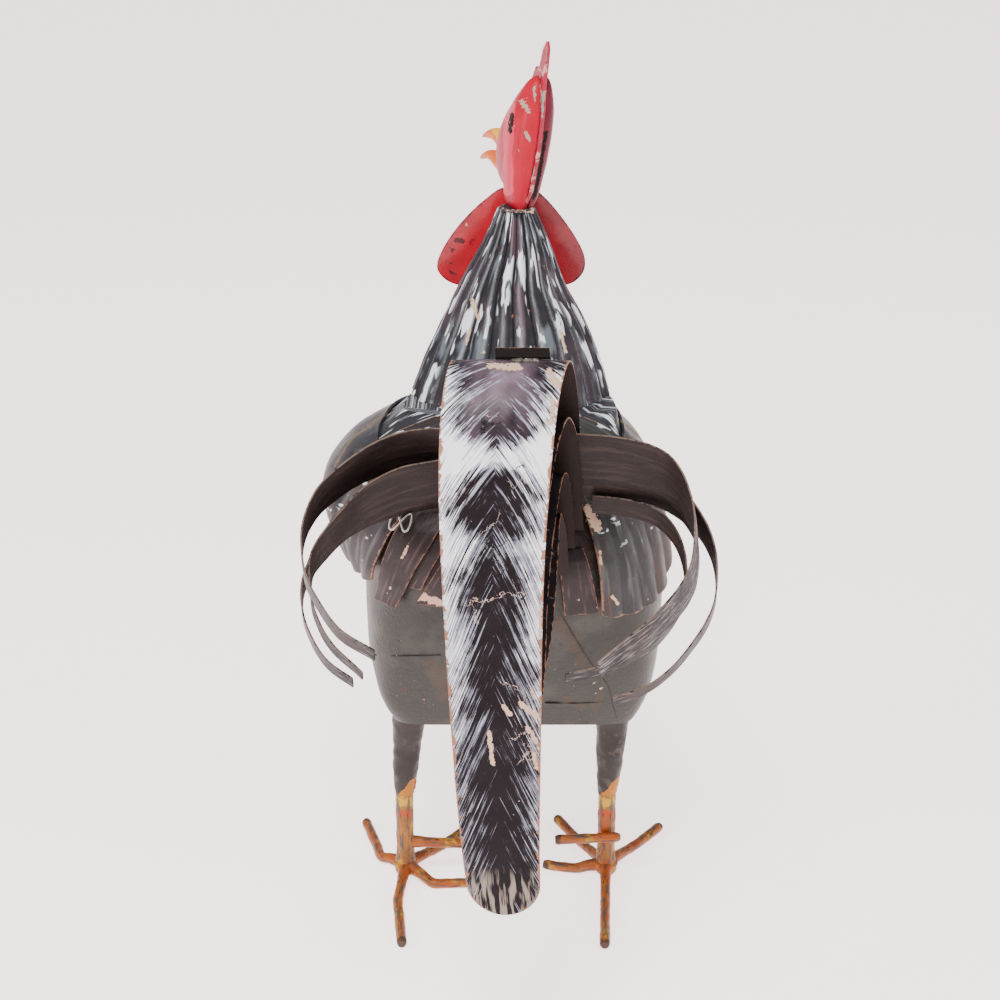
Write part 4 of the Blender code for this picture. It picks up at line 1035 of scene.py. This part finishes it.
def build_strap(paints):
    """The strap's short end on the crown of the outer feather."""
    u, v = np.meshgrid(np.linspace(0, 1, 12), np.linspace(-0.5, 0.5, 24), indexing="ij")
    flat = STRAP_FOOT + np.stack([
        STRAP_WIDTH * v, -STRAP_LENGTH * math.cos(STRAP_SLOPE) * u,
        STRAP_LENGTH * math.sin(STRAP_SLOPE) * u], -1)
    flat[..., 2] += ripple(flat, 9.0, 0.25)
    top = flat + SHEET * np.array([0.0, math.sin(STRAP_SLOPE), math.cos(STRAP_SLOPE)])
    edge = both_sides(STRAP_LENGTH * (1 - u))
    make_piece("tail_strap_tab", *two_sided(top, flat), paints["strap"], "black_feather",
               ["tail_strap_tab"], {"edge": edge, "under": np.zeros(edge.shape)})


def head_place(forward, up, out):
    """Points of the turned and leaning head, from its own plane."""
    ahead = np.array([math.sin(HEAD_TURN), -math.cos(HEAD_TURN), 0.0])
    left = np.array([math.cos(HEAD_TURN), math.sin(HEAD_TURN), 0.0])
    side = np.asarray(out - up * math.tan(HEAD_LEAN))
    return (np.array(HEAD_FOOT) + ahead * np.asarray(forward)[..., None]
            + left * side[..., None] + np.array([0.0, 0.0, 1.0]) * np.asarray(up)[..., None])


def closed_curve(outline, count):
    """Evenly spaced points of a smooth closed curve through an outline."""
    ring = np.array(list(outline[-2:]) + list(outline) + list(outline[:3]), float)
    keys = np.concatenate([[0.0], np.cumsum(np.linalg.norm(np.diff(ring, axis=0), axis=1))])
    start, end = keys[2], keys[2 + len(outline)]
    return spline(np.column_stack([keys, ring]), np.linspace(start, end, count, endpoint=False))


def cut_flat(made, place, normal):
    """Cut a piece flat at a plane, keep the side behind it and close it."""
    shape = bmesh.new()
    shape.from_mesh(made.data)
    parts = shape.verts[:] + shape.edges[:] + shape.faces[:]
    cut = bmesh.ops.bisect_plane(shape, geom=parts, dist=1e-7, plane_co=place, plane_no=normal,
                                 clear_outer=True)
    edges = [e for e in cut["geom_cut"] if isinstance(e, bmesh.types.BMEdge)]
    bmesh.ops.edgeloop_fill(shape, edges=edges)
    bmesh.ops.recalc_face_normals(shape, faces=shape.faces)
    shape.to_mesh(made.data)
    shape.free()


def build_shells(paints):
    """The two domed head halves, with a groove along the back of the head."""
    outline = closed_curve(HEAD_OUTLINE, 120)
    base = HEAD_PLATE / 2 + GAP
    ahead = Vector((math.sin(HEAD_TURN), -math.cos(HEAD_TURN), 0.0))
    foot = Vector(np.array(HEAD_FOOT) * MM + SHIFT)
    for name, side, paint in (("head_shell_left", 1, "head_left"),
                              ("head_shell_right", -1, "head_painted_shade")):
        floor = np.full(len(outline), side * base)
        levels = [head_place(outline[:, 0], outline[:, 1], floor)]
        for k in range(HEAD_RINGS):
            spread = math.cos(math.pi / 2 * k / HEAD_RINGS)
            rise = (1 - spread**2) ** 0.5
            flat = np.array(HEAD_MIDDLE) + (outline - HEAD_MIDDLE) * spread
            out = np.full(len(outline), base + HEAD_RIM + HEAD_BULGE * rise)
            groove = np.exp(-((flat[:, 0] + 3.0) / 2.6) ** 2) * rise
            out = out - 0.7 * groove + ripple(head_place(flat[:, 0], flat[:, 1], out), 11.0, 0.3)
            levels.append(head_place(flat[:, 0], flat[:, 1], side * out))
        made = make_piece(name, *tube(np.stack(levels)), paints[paint], "red_paint", [name])
        cut_flat(made, foot + ahead * HEAD_FRONT * MM, ahead)
        cut_flat(made, foot, Vector((0.0, 0.0, -1.0)))
        made.data.set_sharp_from_angle(angle=math.radians(45))


def build_comb(paints):
    """The flat plate between the head halves, toothed at the top, with eased edges."""
    comb = np.array(COMB_OUTLINE)
    steps = np.concatenate([np.linspace(a, b, 8, endpoint=False)
                            for a, b in zip(comb, np.roll(comb, -1, axis=0))])
    half = HEAD_PLATE / 2
    layers = []
    for inset, out in ((0.5, -half), (0.0, -half + 0.5), (0.0, 0.0), (0.0, half - 0.5), (0.5, half)):
        flat = steps + unit(np.array(COMB_MIDDLE) - steps) * inset
        layers.append(head_place(flat[:, 0], np.maximum(flat[:, 1], 0.0), np.full(len(flat), out)))
    make_piece("comb_plate", *tube(np.stack(layers)), paints["ridge"], "red_paint", ["comb_plate"])


def build_beaks(paints):
    """The two bent halves of the open beak."""
    turn = turns(28)
    for name, rows in BEAKS.items():
        s = np.linspace(0, rows[-1][0], 40)
        up, wide, high = np.moveaxis(spline(rows, s), -1, 0)
        ring = head_place(HEAD_FRONT + GAP + s[:, None] + 0 * turn,
                          up[:, None] + high[:, None] * np.sin(turn), wide[:, None] * np.cos(turn))
        full = np.ones(ring.shape[:2])
        top = np.clip(0.5 + np.sin(turn) * 0.7, 0, 1) * np.clip(1.15 - s[:, None] / 44.0, 0, 1)
        painted = {
            "upper_face": full * top * (name == "beak_upper"),
            "under_face": full * np.clip(-np.sin(turn) - 0.1, 0, 1) * (name == "beak_lower"),
            "tip_face": full * ramp(s[:, None], 28, 14)}
        make_piece(name, *tube(ring), paints["beak"], "beak_yellow", [name], painted)


def build_wattles(paints):
    """Dished leaves below the head."""
    for name, leaf in WATTLES.items():
        curve = closed_curve(leaf, 110)
        corner = curve[:, 1] > WATTLE_TOP - 5.0
        curve[corner, 1] = np.minimum(curve[corner, 1], WATTLE_TOP)
        centre = np.array(leaf).mean(axis=0)
        sheets, edge = [], []
        for spread in (1.0, 0.96, 0.9, 0.8, 0.68, 0.54, 0.4, 0.26, 0.12):
            flat = centre + (curve - centre) * spread
            y = (WATTLE_Y - (NECK_TOP - flat[:, 1]) * math.tan(WATTLE_TILT)
                 + WATTLE_DISH * (1 - spread**2))
            grid = np.stack([flat[:, 0], y, flat[:, 1] - GAP], -1)
            grid[:, 1] += ripple(grid, 12.0, 0.8 * (1 - spread))
            sheets.append(grid)
            edge.append(np.full(len(flat), 24.0 * (1 - spread)))
        front = np.stack(sheets)
        back = front[::-1] + np.array([0.0, WATTLE_SHEET, 0.0])
        rim = (front[:1] + back[-1:]) / 2
        rim[..., 0] += np.sign(rim[..., 0] - centre[0]) * 0.2
        distances = np.concatenate([edge[::-1], [np.zeros(len(curve))], edge])
        make_piece(name, *tube(np.concatenate([front[::-1], rim, back[::-1]])), paints[name],
                   "red_paint", [name], {"edge": distances})


def rod_rings(path, radius, sides=18, seed=0.0, root=0.0, round_start=False):
    """Rings of a bent rod with hammered bumps, a welded root and a rubbed end."""
    shares = np.linspace(0, 1, 70)
    steps = [0.0]
    for a, b in zip(path, path[1:]):
        steps.append(steps[-1] + float(np.linalg.norm(b - a)))
    centre = spline(np.column_stack([steps, path]), shares * steps[-1])
    tangent = unit(np.gradient(centre, axis=0))
    side = unit(np.cross(tangent, np.array([0.0, 0.0, 1.0])))
    up = np.cross(side, tangent)
    turn = turns(sides) - np.pi / 2
    left = (1 - shares) * steps[-1]
    run = shares * steps[-1]
    tip = np.where(left < 2.5, ROD_END + (1 - ROD_END) * (left / 2.5) ** 0.5, 1.0)
    heel = np.where(run < 3.0, 0.45 + 0.55 * (run / 3.0) ** 0.5, 1.0) if round_start else 1.0
    size = radius * tip * heel * (1 + root * np.exp(-(run / 10.0) ** 2))
    ring = (centre[:, None, :] + side[:, None, :] * (size[:, None] * np.cos(turn))[..., None]
            + up[:, None, :] * (size[:, None] * np.sin(turn))[..., None])
    ring += unit(ring - centre[:, None, :]) * ripple(ring, 6.0, 0.35, seed)[..., None]
    ring[..., 2] = np.maximum(ring[..., 2], 0.0)
    full = np.ones(ring.shape[:2])
    painted = {"worn_end": full * np.clip(1.0 - left[:, None] / 11.0, 0, 1),
               "across": full * radius * turn, "along": full * run[:, None]}
    return ring, painted


def turned_rings(sections, seed, bumps):
    """Rings of an upright round piece through (x, y, z, radius) sections."""
    sections = np.array(sections, float)
    order = sections[:, 2]
    z = np.linspace(order[0], order[-1], 70)
    x, y, radius = [np.interp(z, order, sections[:, c])[:, None] for c in (0, 1, 3)]
    turn = turns(36)
    centre = np.stack([x, y, z[:, None]], -1)
    ring = centre + np.stack([radius * np.cos(turn), radius * np.sin(turn),
                              0 * radius * turn], -1)
    return ring + unit(ring - centre) * ripple(ring, 6.0, bumps, seed)[..., None]


def build_thigh(paints, n, side, shank_x, top_x):
    """A hammered cone with an ochre splash at the knee."""
    slim = SHANK_ROD / 2 + 0.6
    sections = [(shank_x + (top_x - shank_x) * f, SHANK_Y,
                 THIGH_FOOT + (BODY_BOTTOM - GAP - THIGH_FOOT) * f,
                 slim + (THIGH_TOP_WIDTH / 2 - slim) * f**0.8) for f in np.linspace(0, 1, 12)]
    ring = turned_rings(sections, n * 3.0, 0.7)
    dark_side = 7.0 * np.clip((ring[..., 0] - shank_x) / 5.0, -1, 1)
    ochre = np.clip((THIGH_FOOT + 9.0 - dark_side - ring[..., 2]) / 5.0, 0, 1)
    name = "thigh_" + side
    make_piece(name, *tube(ring), paints["thigh"], "thigh_iron", [name], {"ochre": ochre})


def build_shank(paints, n, side, shank_x):
    """A painted rod that swells into its weld collar at the foot."""
    wide, slim = COLLAR / 2, SHANK_ROD / 2
    rows = ((0.8, wide - 1.6), (2.4, wide - 0.3), (COLLAR_HEIGHT * 0.6, wide),
            (COLLAR_HEIGHT, wide - 0.6), (COLLAR_HEIGHT + 4.0, slim + 0.9),
            (COLLAR_HEIGHT + 9.0, slim + 0.1), (THIGH_FOOT + 2.0, slim))
    ring = turned_rings([(shank_x, SHANK_Y, z, r) for z, r in rows], 20.0 + n, 0.6)
    z = ring[..., 2]
    turn = np.arctan2(ring[..., 1] - SHANK_Y, ring[..., 0] - shank_x)
    painted = {"across": slim * turn, "along": z}
    for kind, (middle, reach) in SHANK_BANDS.items():
        painted[kind] = np.exp(-((z - middle) / reach) ** 2)
    name = "shank_" + side
    make_piece(name, *tube(ring), paints["shank"], "ochre_leg", [name], painted)


def build_spur(paints, n, side, shank_x, spur):
    """A rod that leaves the shank inwards, or crosses behind it."""
    height, reach, crosses = spur
    inward = -1 if shank_x > 0 else 1
    middle = np.array([shank_x, SHANK_Y, height])
    middle[1] += (SHANK_ROD / 2 + GAP + TOE_ROD / 2) if crosses else 0.0
    start = -SPUR_HEEL if crosses else (SHANK_ROD / 2 + GAP) * 0.2
    heel = middle + np.array([inward * start, 0.0, 0.0])
    tip = middle + np.array([inward * reach, 0.0, -SPUR_DROP])
    path = np.array([heel, heel + (tip - heel) * 0.3, heel + (tip - heel) * 0.65, tip])
    ring, painted = rod_rings(path, TOE_ROD / 2, seed=5.0 + n, round_start=crosses,
                              root=0.0 if crosses else 0.35)
    name = "spur_" + side
    make_piece(name, *tube(ring), paints["toe"], "ochre_leg", [name], painted)


def build_toes(paints, n, side, shank_x, toes):
    """Four bent rods from the collar down to the floor."""
    hub = np.array([shank_x, SHANK_Y, 0.0])
    ground = np.array([0.0, 0.0, TOE_ROD / 2 * math.cos(math.pi / 8)])
    lift = np.array([0.0, 0.0, TOE_LIFT])
    for toe, (bend, tip) in zip(TOE_NAMES, toes):
        knee, end = np.array([*bend, 0.0]), np.array([*tip, 0.0])
        start = hub + unit(knee - hub) * (COLLAR / 2 - TOE_SETBACK)
        past = unit(end - knee) * TOE_ROD / 4
        path = np.array([start + ground + lift, (start + knee) / 2 + ground + lift * 0.7,
                         knee + ground + lift * 0.2, knee + (end - knee) * 0.35 + ground,
                         end + ground, end + past + ground])
        ring, painted = rod_rings(path, TOE_ROD / 2, seed=len(toe) + 7.0 * n, root=0.3)
        name = "toe_" + toe + "_" + side
        make_piece(name, *tube(ring), paints["toe"], "ochre_leg", [name], painted)


def build_legs(paints):
    """Thighs, shanks with their collars, spurs and toes."""
    for n, (side, shank_x, top_x, spur, toes) in enumerate(LEGS):
        build_thigh(paints, n, side, shank_x, top_x)
        build_shank(paints, n, side, shank_x)
        build_spur(paints, n, side, shank_x, spur)
        build_toes(paints, n, side, shank_x, toes)


def weld_tree(material):
    """Geometry nodes that lay a row of uneven weld drops along a curve."""
    tree = bpy.data.node_groups.new("weld_drops", "GeometryNodeTree")
    face = tree.interface
    face.new_socket("Geometry", in_out="INPUT", socket_type="NodeSocketGeometry")
    sizes = {}
    for name, default in (("Drop Radius", 0.0016), ("Drop Spacing", 0.0014)):
        socket = face.new_socket(name, in_out="INPUT", socket_type="NodeSocketFloat")
        socket.default_value = default
        socket.subtype = "DISTANCE"
        sizes[name] = socket.identifier
    seed = face.new_socket("Seed", in_out="INPUT", socket_type="NodeSocketInt")
    seed.default_value = 3
    face.new_socket("Geometry", in_out="OUTPUT", socket_type="NodeSocketGeometry")
    given = add_node(tree, "NodeGroupInput")
    spaced = add_node(tree, "GeometryNodeResampleCurve", {"mode": "LENGTH"}, {
        "Curve": given.outputs["Geometry"], "Length": given.outputs["Drop Spacing"]})
    drop = add_node(tree, "GeometryNodeMeshIcoSphere", (), {
        "Radius": given.outputs["Drop Radius"], "Subdivisions": 3})
    uneven = add_node(tree, "FunctionNodeRandomValue", {"data_type": "FLOAT"}, {
        "Min": 0.65, "Max": 1.25, "Seed": given.outputs["Seed"]})
    scale = [o for o in uneven.outputs if o.type == "VALUE" and o.enabled][0]
    dropped = add_node(tree, "GeometryNodeInstanceOnPoints", (), {
        "Points": spaced.outputs[0], "Instance": drop.outputs[0], "Scale": scale})
    real = add_node(tree, "GeometryNodeRealizeInstances", (), {"Geometry": dropped.outputs[0]})
    painted = add_node(tree, "GeometryNodeSetMaterial", (), {
        "Geometry": real.outputs[0], "Material": material})
    add_node(tree, "NodeGroupOutput", (), {"Geometry": painted.outputs[0]})
    return tree, sizes


def weld_line(name, weld, points, radius, spacing):
    """A weld seam along points in drawn millimetres, made a plain mesh."""
    curve = bpy.data.curves.new(name, "CURVE")
    curve.dimensions = "3D"
    line = curve.splines.new("POLY")
    line.points.add(len(points) - 1)
    for point, place in zip(line.points, np.asarray(points, float) * MM + SHIFT):
        point.co = (*place, 1.0)
    holder = add_object(name + "_path", curve)
    laid = holder.modifiers.new("weld", "NODES")
    laid.node_group, sizes = weld
    laid[sizes["Drop Radius"]] = radius
    laid[sizes["Drop Spacing"]] = spacing
    bpy.context.view_layer.update()
    graph = bpy.context.evaluated_depsgraph_get()
    mesh = bpy.data.meshes.new_from_object(holder.evaluated_get(graph), depsgraph=graph)
    bpy.data.objects.remove(holder, do_unlink=True)
    if not mesh.polygons:
        raise RuntimeError("No weld drops were laid along " + name)
    mesh.name = name
    mesh.shade_smooth()
    made = add_object(name, mesh)
    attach(made, "root")


def ring_points(x, y, z, radius_x, radius_y):
    """Points of a level ring."""
    turn = np.linspace(0, 2 * np.pi, 60)
    return np.stack([x + radius_x * np.cos(turn), y + radius_y * np.sin(turn),
                     np.full(len(turn), z)], -1)


def build_wire(paints):
    """The wire twisted round on the rump, in a figure of eight."""
    loop = []
    for f in np.linspace(0, 1, 40)[::2]:
        turn = f * 2 * math.pi * WIRE_TURNS
        angle = WIRE_PLACE[0] + WIRE_REACH[0] * math.sin(turn)
        height = WIRE_PLACE[1] + WIRE_REACH[1] * math.sin(2 * turn)
        loop.append(draped(np.array(angle), np.array(height), CLEAR + 2 * LAYER + 1.5 + f))
    ring, _ = rod_rings(np.array(loop), WIRE_RADIUS, sides=10)
    make_piece("wire_twist", *tube(ring), paints["wire"], "plum_primer", [])


def build_welds(paints, look):
    """Weld seams at the neck, legs and tail, the body's laps and the wire."""
    bare_weld, coated_weld = weld_tree(paints["weld"]), weld_tree(paints["toe"])
    radius, spacing = look.weld_drop, look.weld_drop * 0.85
    weld_line("weld_neck_top", bare_weld, ring_points(*NECK_WELD), radius, spacing)
    for side, shank_x, *_ in LEGS:
        around = ring_points(shank_x, SHANK_Y, COLLAR_HEIGHT - 0.5, COLLAR_WELD, COLLAR_WELD)
        weld_line("weld_collar_" + side, coated_weld, around, radius * 1.3, spacing)
    knee = np.array([SHANK_X[0], SHANK_Y, THIGH_FOOT])
    weld_line("weld_knee_left", coated_weld, knee + np.array(KNEE_DRIP), radius * 1.7, spacing)
    for name, route in SEAMS.items():
        ring, _ = rod_rings(on_body(route), SEAM_RADIUS, sides=8)
        make_piece(name, *tube(ring), paints["seam"], "olive_grey_iron", [])
    weld_line("weld_strap", bare_weld, CREST + np.array(STRAP_WELD), radius * 1.1, spacing)
    build_wire(paints)


def build_floor(paints):
    """The pale floor, far larger than the bird."""
    mesh = bpy.data.meshes.new("floor")
    corners = [(-1, -1), (1, -1), (1, 1), (-1, 1)]
    mesh.from_pydata([(FLOOR_REACH * x, FLOOR_REACH * y, 0) for x, y in corners], [],
                     [(0, 1, 2, 3)])
    mesh.materials.append(paints["floor"])
    add_object("floor", mesh)


def build_lights():
    """A pale room and three soft lamps."""
    world = bpy.data.worlds.new("soft_room")
    world.use_nodes = True
    sky = world.node_tree.nodes["Background"]
    sky.inputs["Color"].default_value = linear("#fbf3f4")
    sky.inputs["Strength"].default_value = 0.7
    bpy.context.scene.world = world
    for name, (place, aim, size, power) in LAMPS.items():
        data = bpy.data.lights.new(name, "AREA")
        data.shape = "DISK"
        data.size = size
        data.energy = power
        lamp = add_object(name, data)
        lamp.location = place
        lamp.rotation_euler = (Vector(aim) - Vector(place)).to_track_quat("-Z", "Y").to_euler()


def build_camera(look):
    """The camera at the photograph's angle."""
    data = bpy.data.cameras.new("camera")
    data.lens = look.lens
    data.sensor_width = 36.0
    camera = add_object("camera", data)
    camera.location = CAMERA_PLACE + SHIFT
    camera.rotation_euler = (math.pi / 2 - CAMERA_DOWN, 0.0, math.pi)
    bpy.context.scene.camera = camera


PAINTS = {}


def paints_of(context):
    """The finishes, made once."""
    if not PAINTS:
        PAINTS.update(finishes(context.scene.rooster_look))
    return PAINTS


def colour_setting(name, hint, default):
    """A colour that a user can change, from an sRGB hex default."""
    return bpy.props.FloatVectorProperty(
        name=name, description=hint, subtype="COLOR", size=4, min=0.0, max=1.0,
        default=linear(default))


class RoosterLook(bpy.types.PropertyGroup):
    """Sizes and colours of the rooster that a user may change."""
    feather_colour: colour_setting("Feather colour", "Black enamel of the tail", "#0f0a0d")
    slate_colour: colour_setting("Hackle colour", "Slate paint of the hackle", "#26262c")
    body_colour: colour_setting("Body colour", "Smoked lacquer of the body", "#2e2f29")
    head_colour: colour_setting("Head colour", "Red enamel of the head", "#a30820")
    wattle_colour: colour_setting("Wattle colour", "Red enamel of the wattles", "#b81026")
    floor_colour: colour_setting("Floor colour", "Paper under the bird", "#fdeff0")
    weld_drop: bpy.props.FloatProperty(
        name="Weld drop", description="Radius of one drop of weld", default=0.0014, unit="LENGTH")
    lens: bpy.props.FloatProperty(
        name="Lens", description="Focal length of the camera", default=CAMERA_LENS, unit="CAMERA")


class ROOSTER_OT_body(bpy.types.Operator):
    """Build the body and the pleated hackle"""
    bl_idname = "rooster.body"
    bl_label = "Body and hackle"

    def execute(self, context):
        paints = paints_of(context)
        build_bucket(paints)
        build_hackle(paints)
        return {"FINISHED"}


class ROOSTER_OT_sheets(bpy.types.Operator):
    """Build the wings, saddles and rump feathers"""
    bl_idname = "rooster.sheets"
    bl_label = "Wings and saddles"

    def execute(self, context):
        paints = paints_of(context)
        build_wings(paints)
        build_saddles(paints)
        build_rump(paints)
        return {"FINISHED"}


class ROOSTER_OT_feathers(bpy.types.Operator):
    """Build the tail and side feathers"""
    bl_idname = "rooster.feathers"
    bl_label = "Tail feathers"

    def execute(self, context):
        paints = paints_of(context)
        build_tail(paints)
        build_side_feathers(paints)
        build_strap(paints)
        return {"FINISHED"}


class ROOSTER_OT_head(bpy.types.Operator):
    """Build the head, comb, beak and wattles"""
    bl_idname = "rooster.head"
    bl_label = "Head"

    def execute(self, context):
        paints = paints_of(context)
        build_shells(paints)
        build_comb(paints)
        build_beaks(paints)
        build_wattles(paints)
        return {"FINISHED"}


class ROOSTER_OT_legs(bpy.types.Operator):
    """Build the thighs, shanks, spurs and toes"""
    bl_idname = "rooster.legs"
    bl_label = "Legs"

    def execute(self, context):
        build_legs(paints_of(context))
        return {"FINISHED"}


class ROOSTER_OT_welds(bpy.types.Operator):
    """Build the weld seams and the wire twist"""
    bl_idname = "rooster.welds"
    bl_label = "Welds"

    def execute(self, context):
        build_welds(paints_of(context), context.scene.rooster_look)
        return {"FINISHED"}


class ROOSTER_OT_stage(bpy.types.Operator):
    """Build the floor, lights and camera"""
    bl_idname = "rooster.stage"
    bl_label = "Stage"

    def execute(self, context):
        build_floor(paints_of(context))
        build_lights()
        build_camera(context.scene.rooster_look)
        return {"FINISHED"}


OPERATORS = (ROOSTER_OT_body, ROOSTER_OT_sheets, ROOSTER_OT_feathers, ROOSTER_OT_head,
             ROOSTER_OT_legs, ROOSTER_OT_welds, ROOSTER_OT_stage)


class ROOSTER_PT_build(bpy.types.Panel):
    """Build steps of the rooster"""
    bl_idname = "ROOSTER_PT_build"
    bl_label = "Rooster"
    bl_space_type = "VIEW_3D"
    bl_region_type = "UI"
    bl_category = "Rooster"

    def draw(self, context):
        look = context.scene.rooster_look
        for name in RoosterLook.__annotations__:
            self.layout.prop(look, name)
        for operator in OPERATORS:
            self.layout.operator(operator.bl_idname)


CLASSES = (RoosterLook, *OPERATORS, ROOSTER_PT_build)


def register():
    """Register the classes and hang the settings on the scene."""
    for each in CLASSES:
        bpy.utils.register_class(each)
    bpy.types.Scene.rooster_look = bpy.props.PointerProperty(type=RoosterLook)


def unregister():
    """Undo register."""
    del bpy.types.Scene.rooster_look
    for each in reversed(CLASSES):
        bpy.utils.unregister_class(each)


def main():
    """Build every piece in order."""
    register()
    bpy.ops.rooster.body()
    bpy.ops.rooster.sheets()
    bpy.ops.rooster.feathers()
    bpy.ops.rooster.head()
    bpy.ops.rooster.legs()
    bpy.ops.rooster.welds()
    bpy.ops.rooster.stage()


if __name__ == "__main__":
    main()
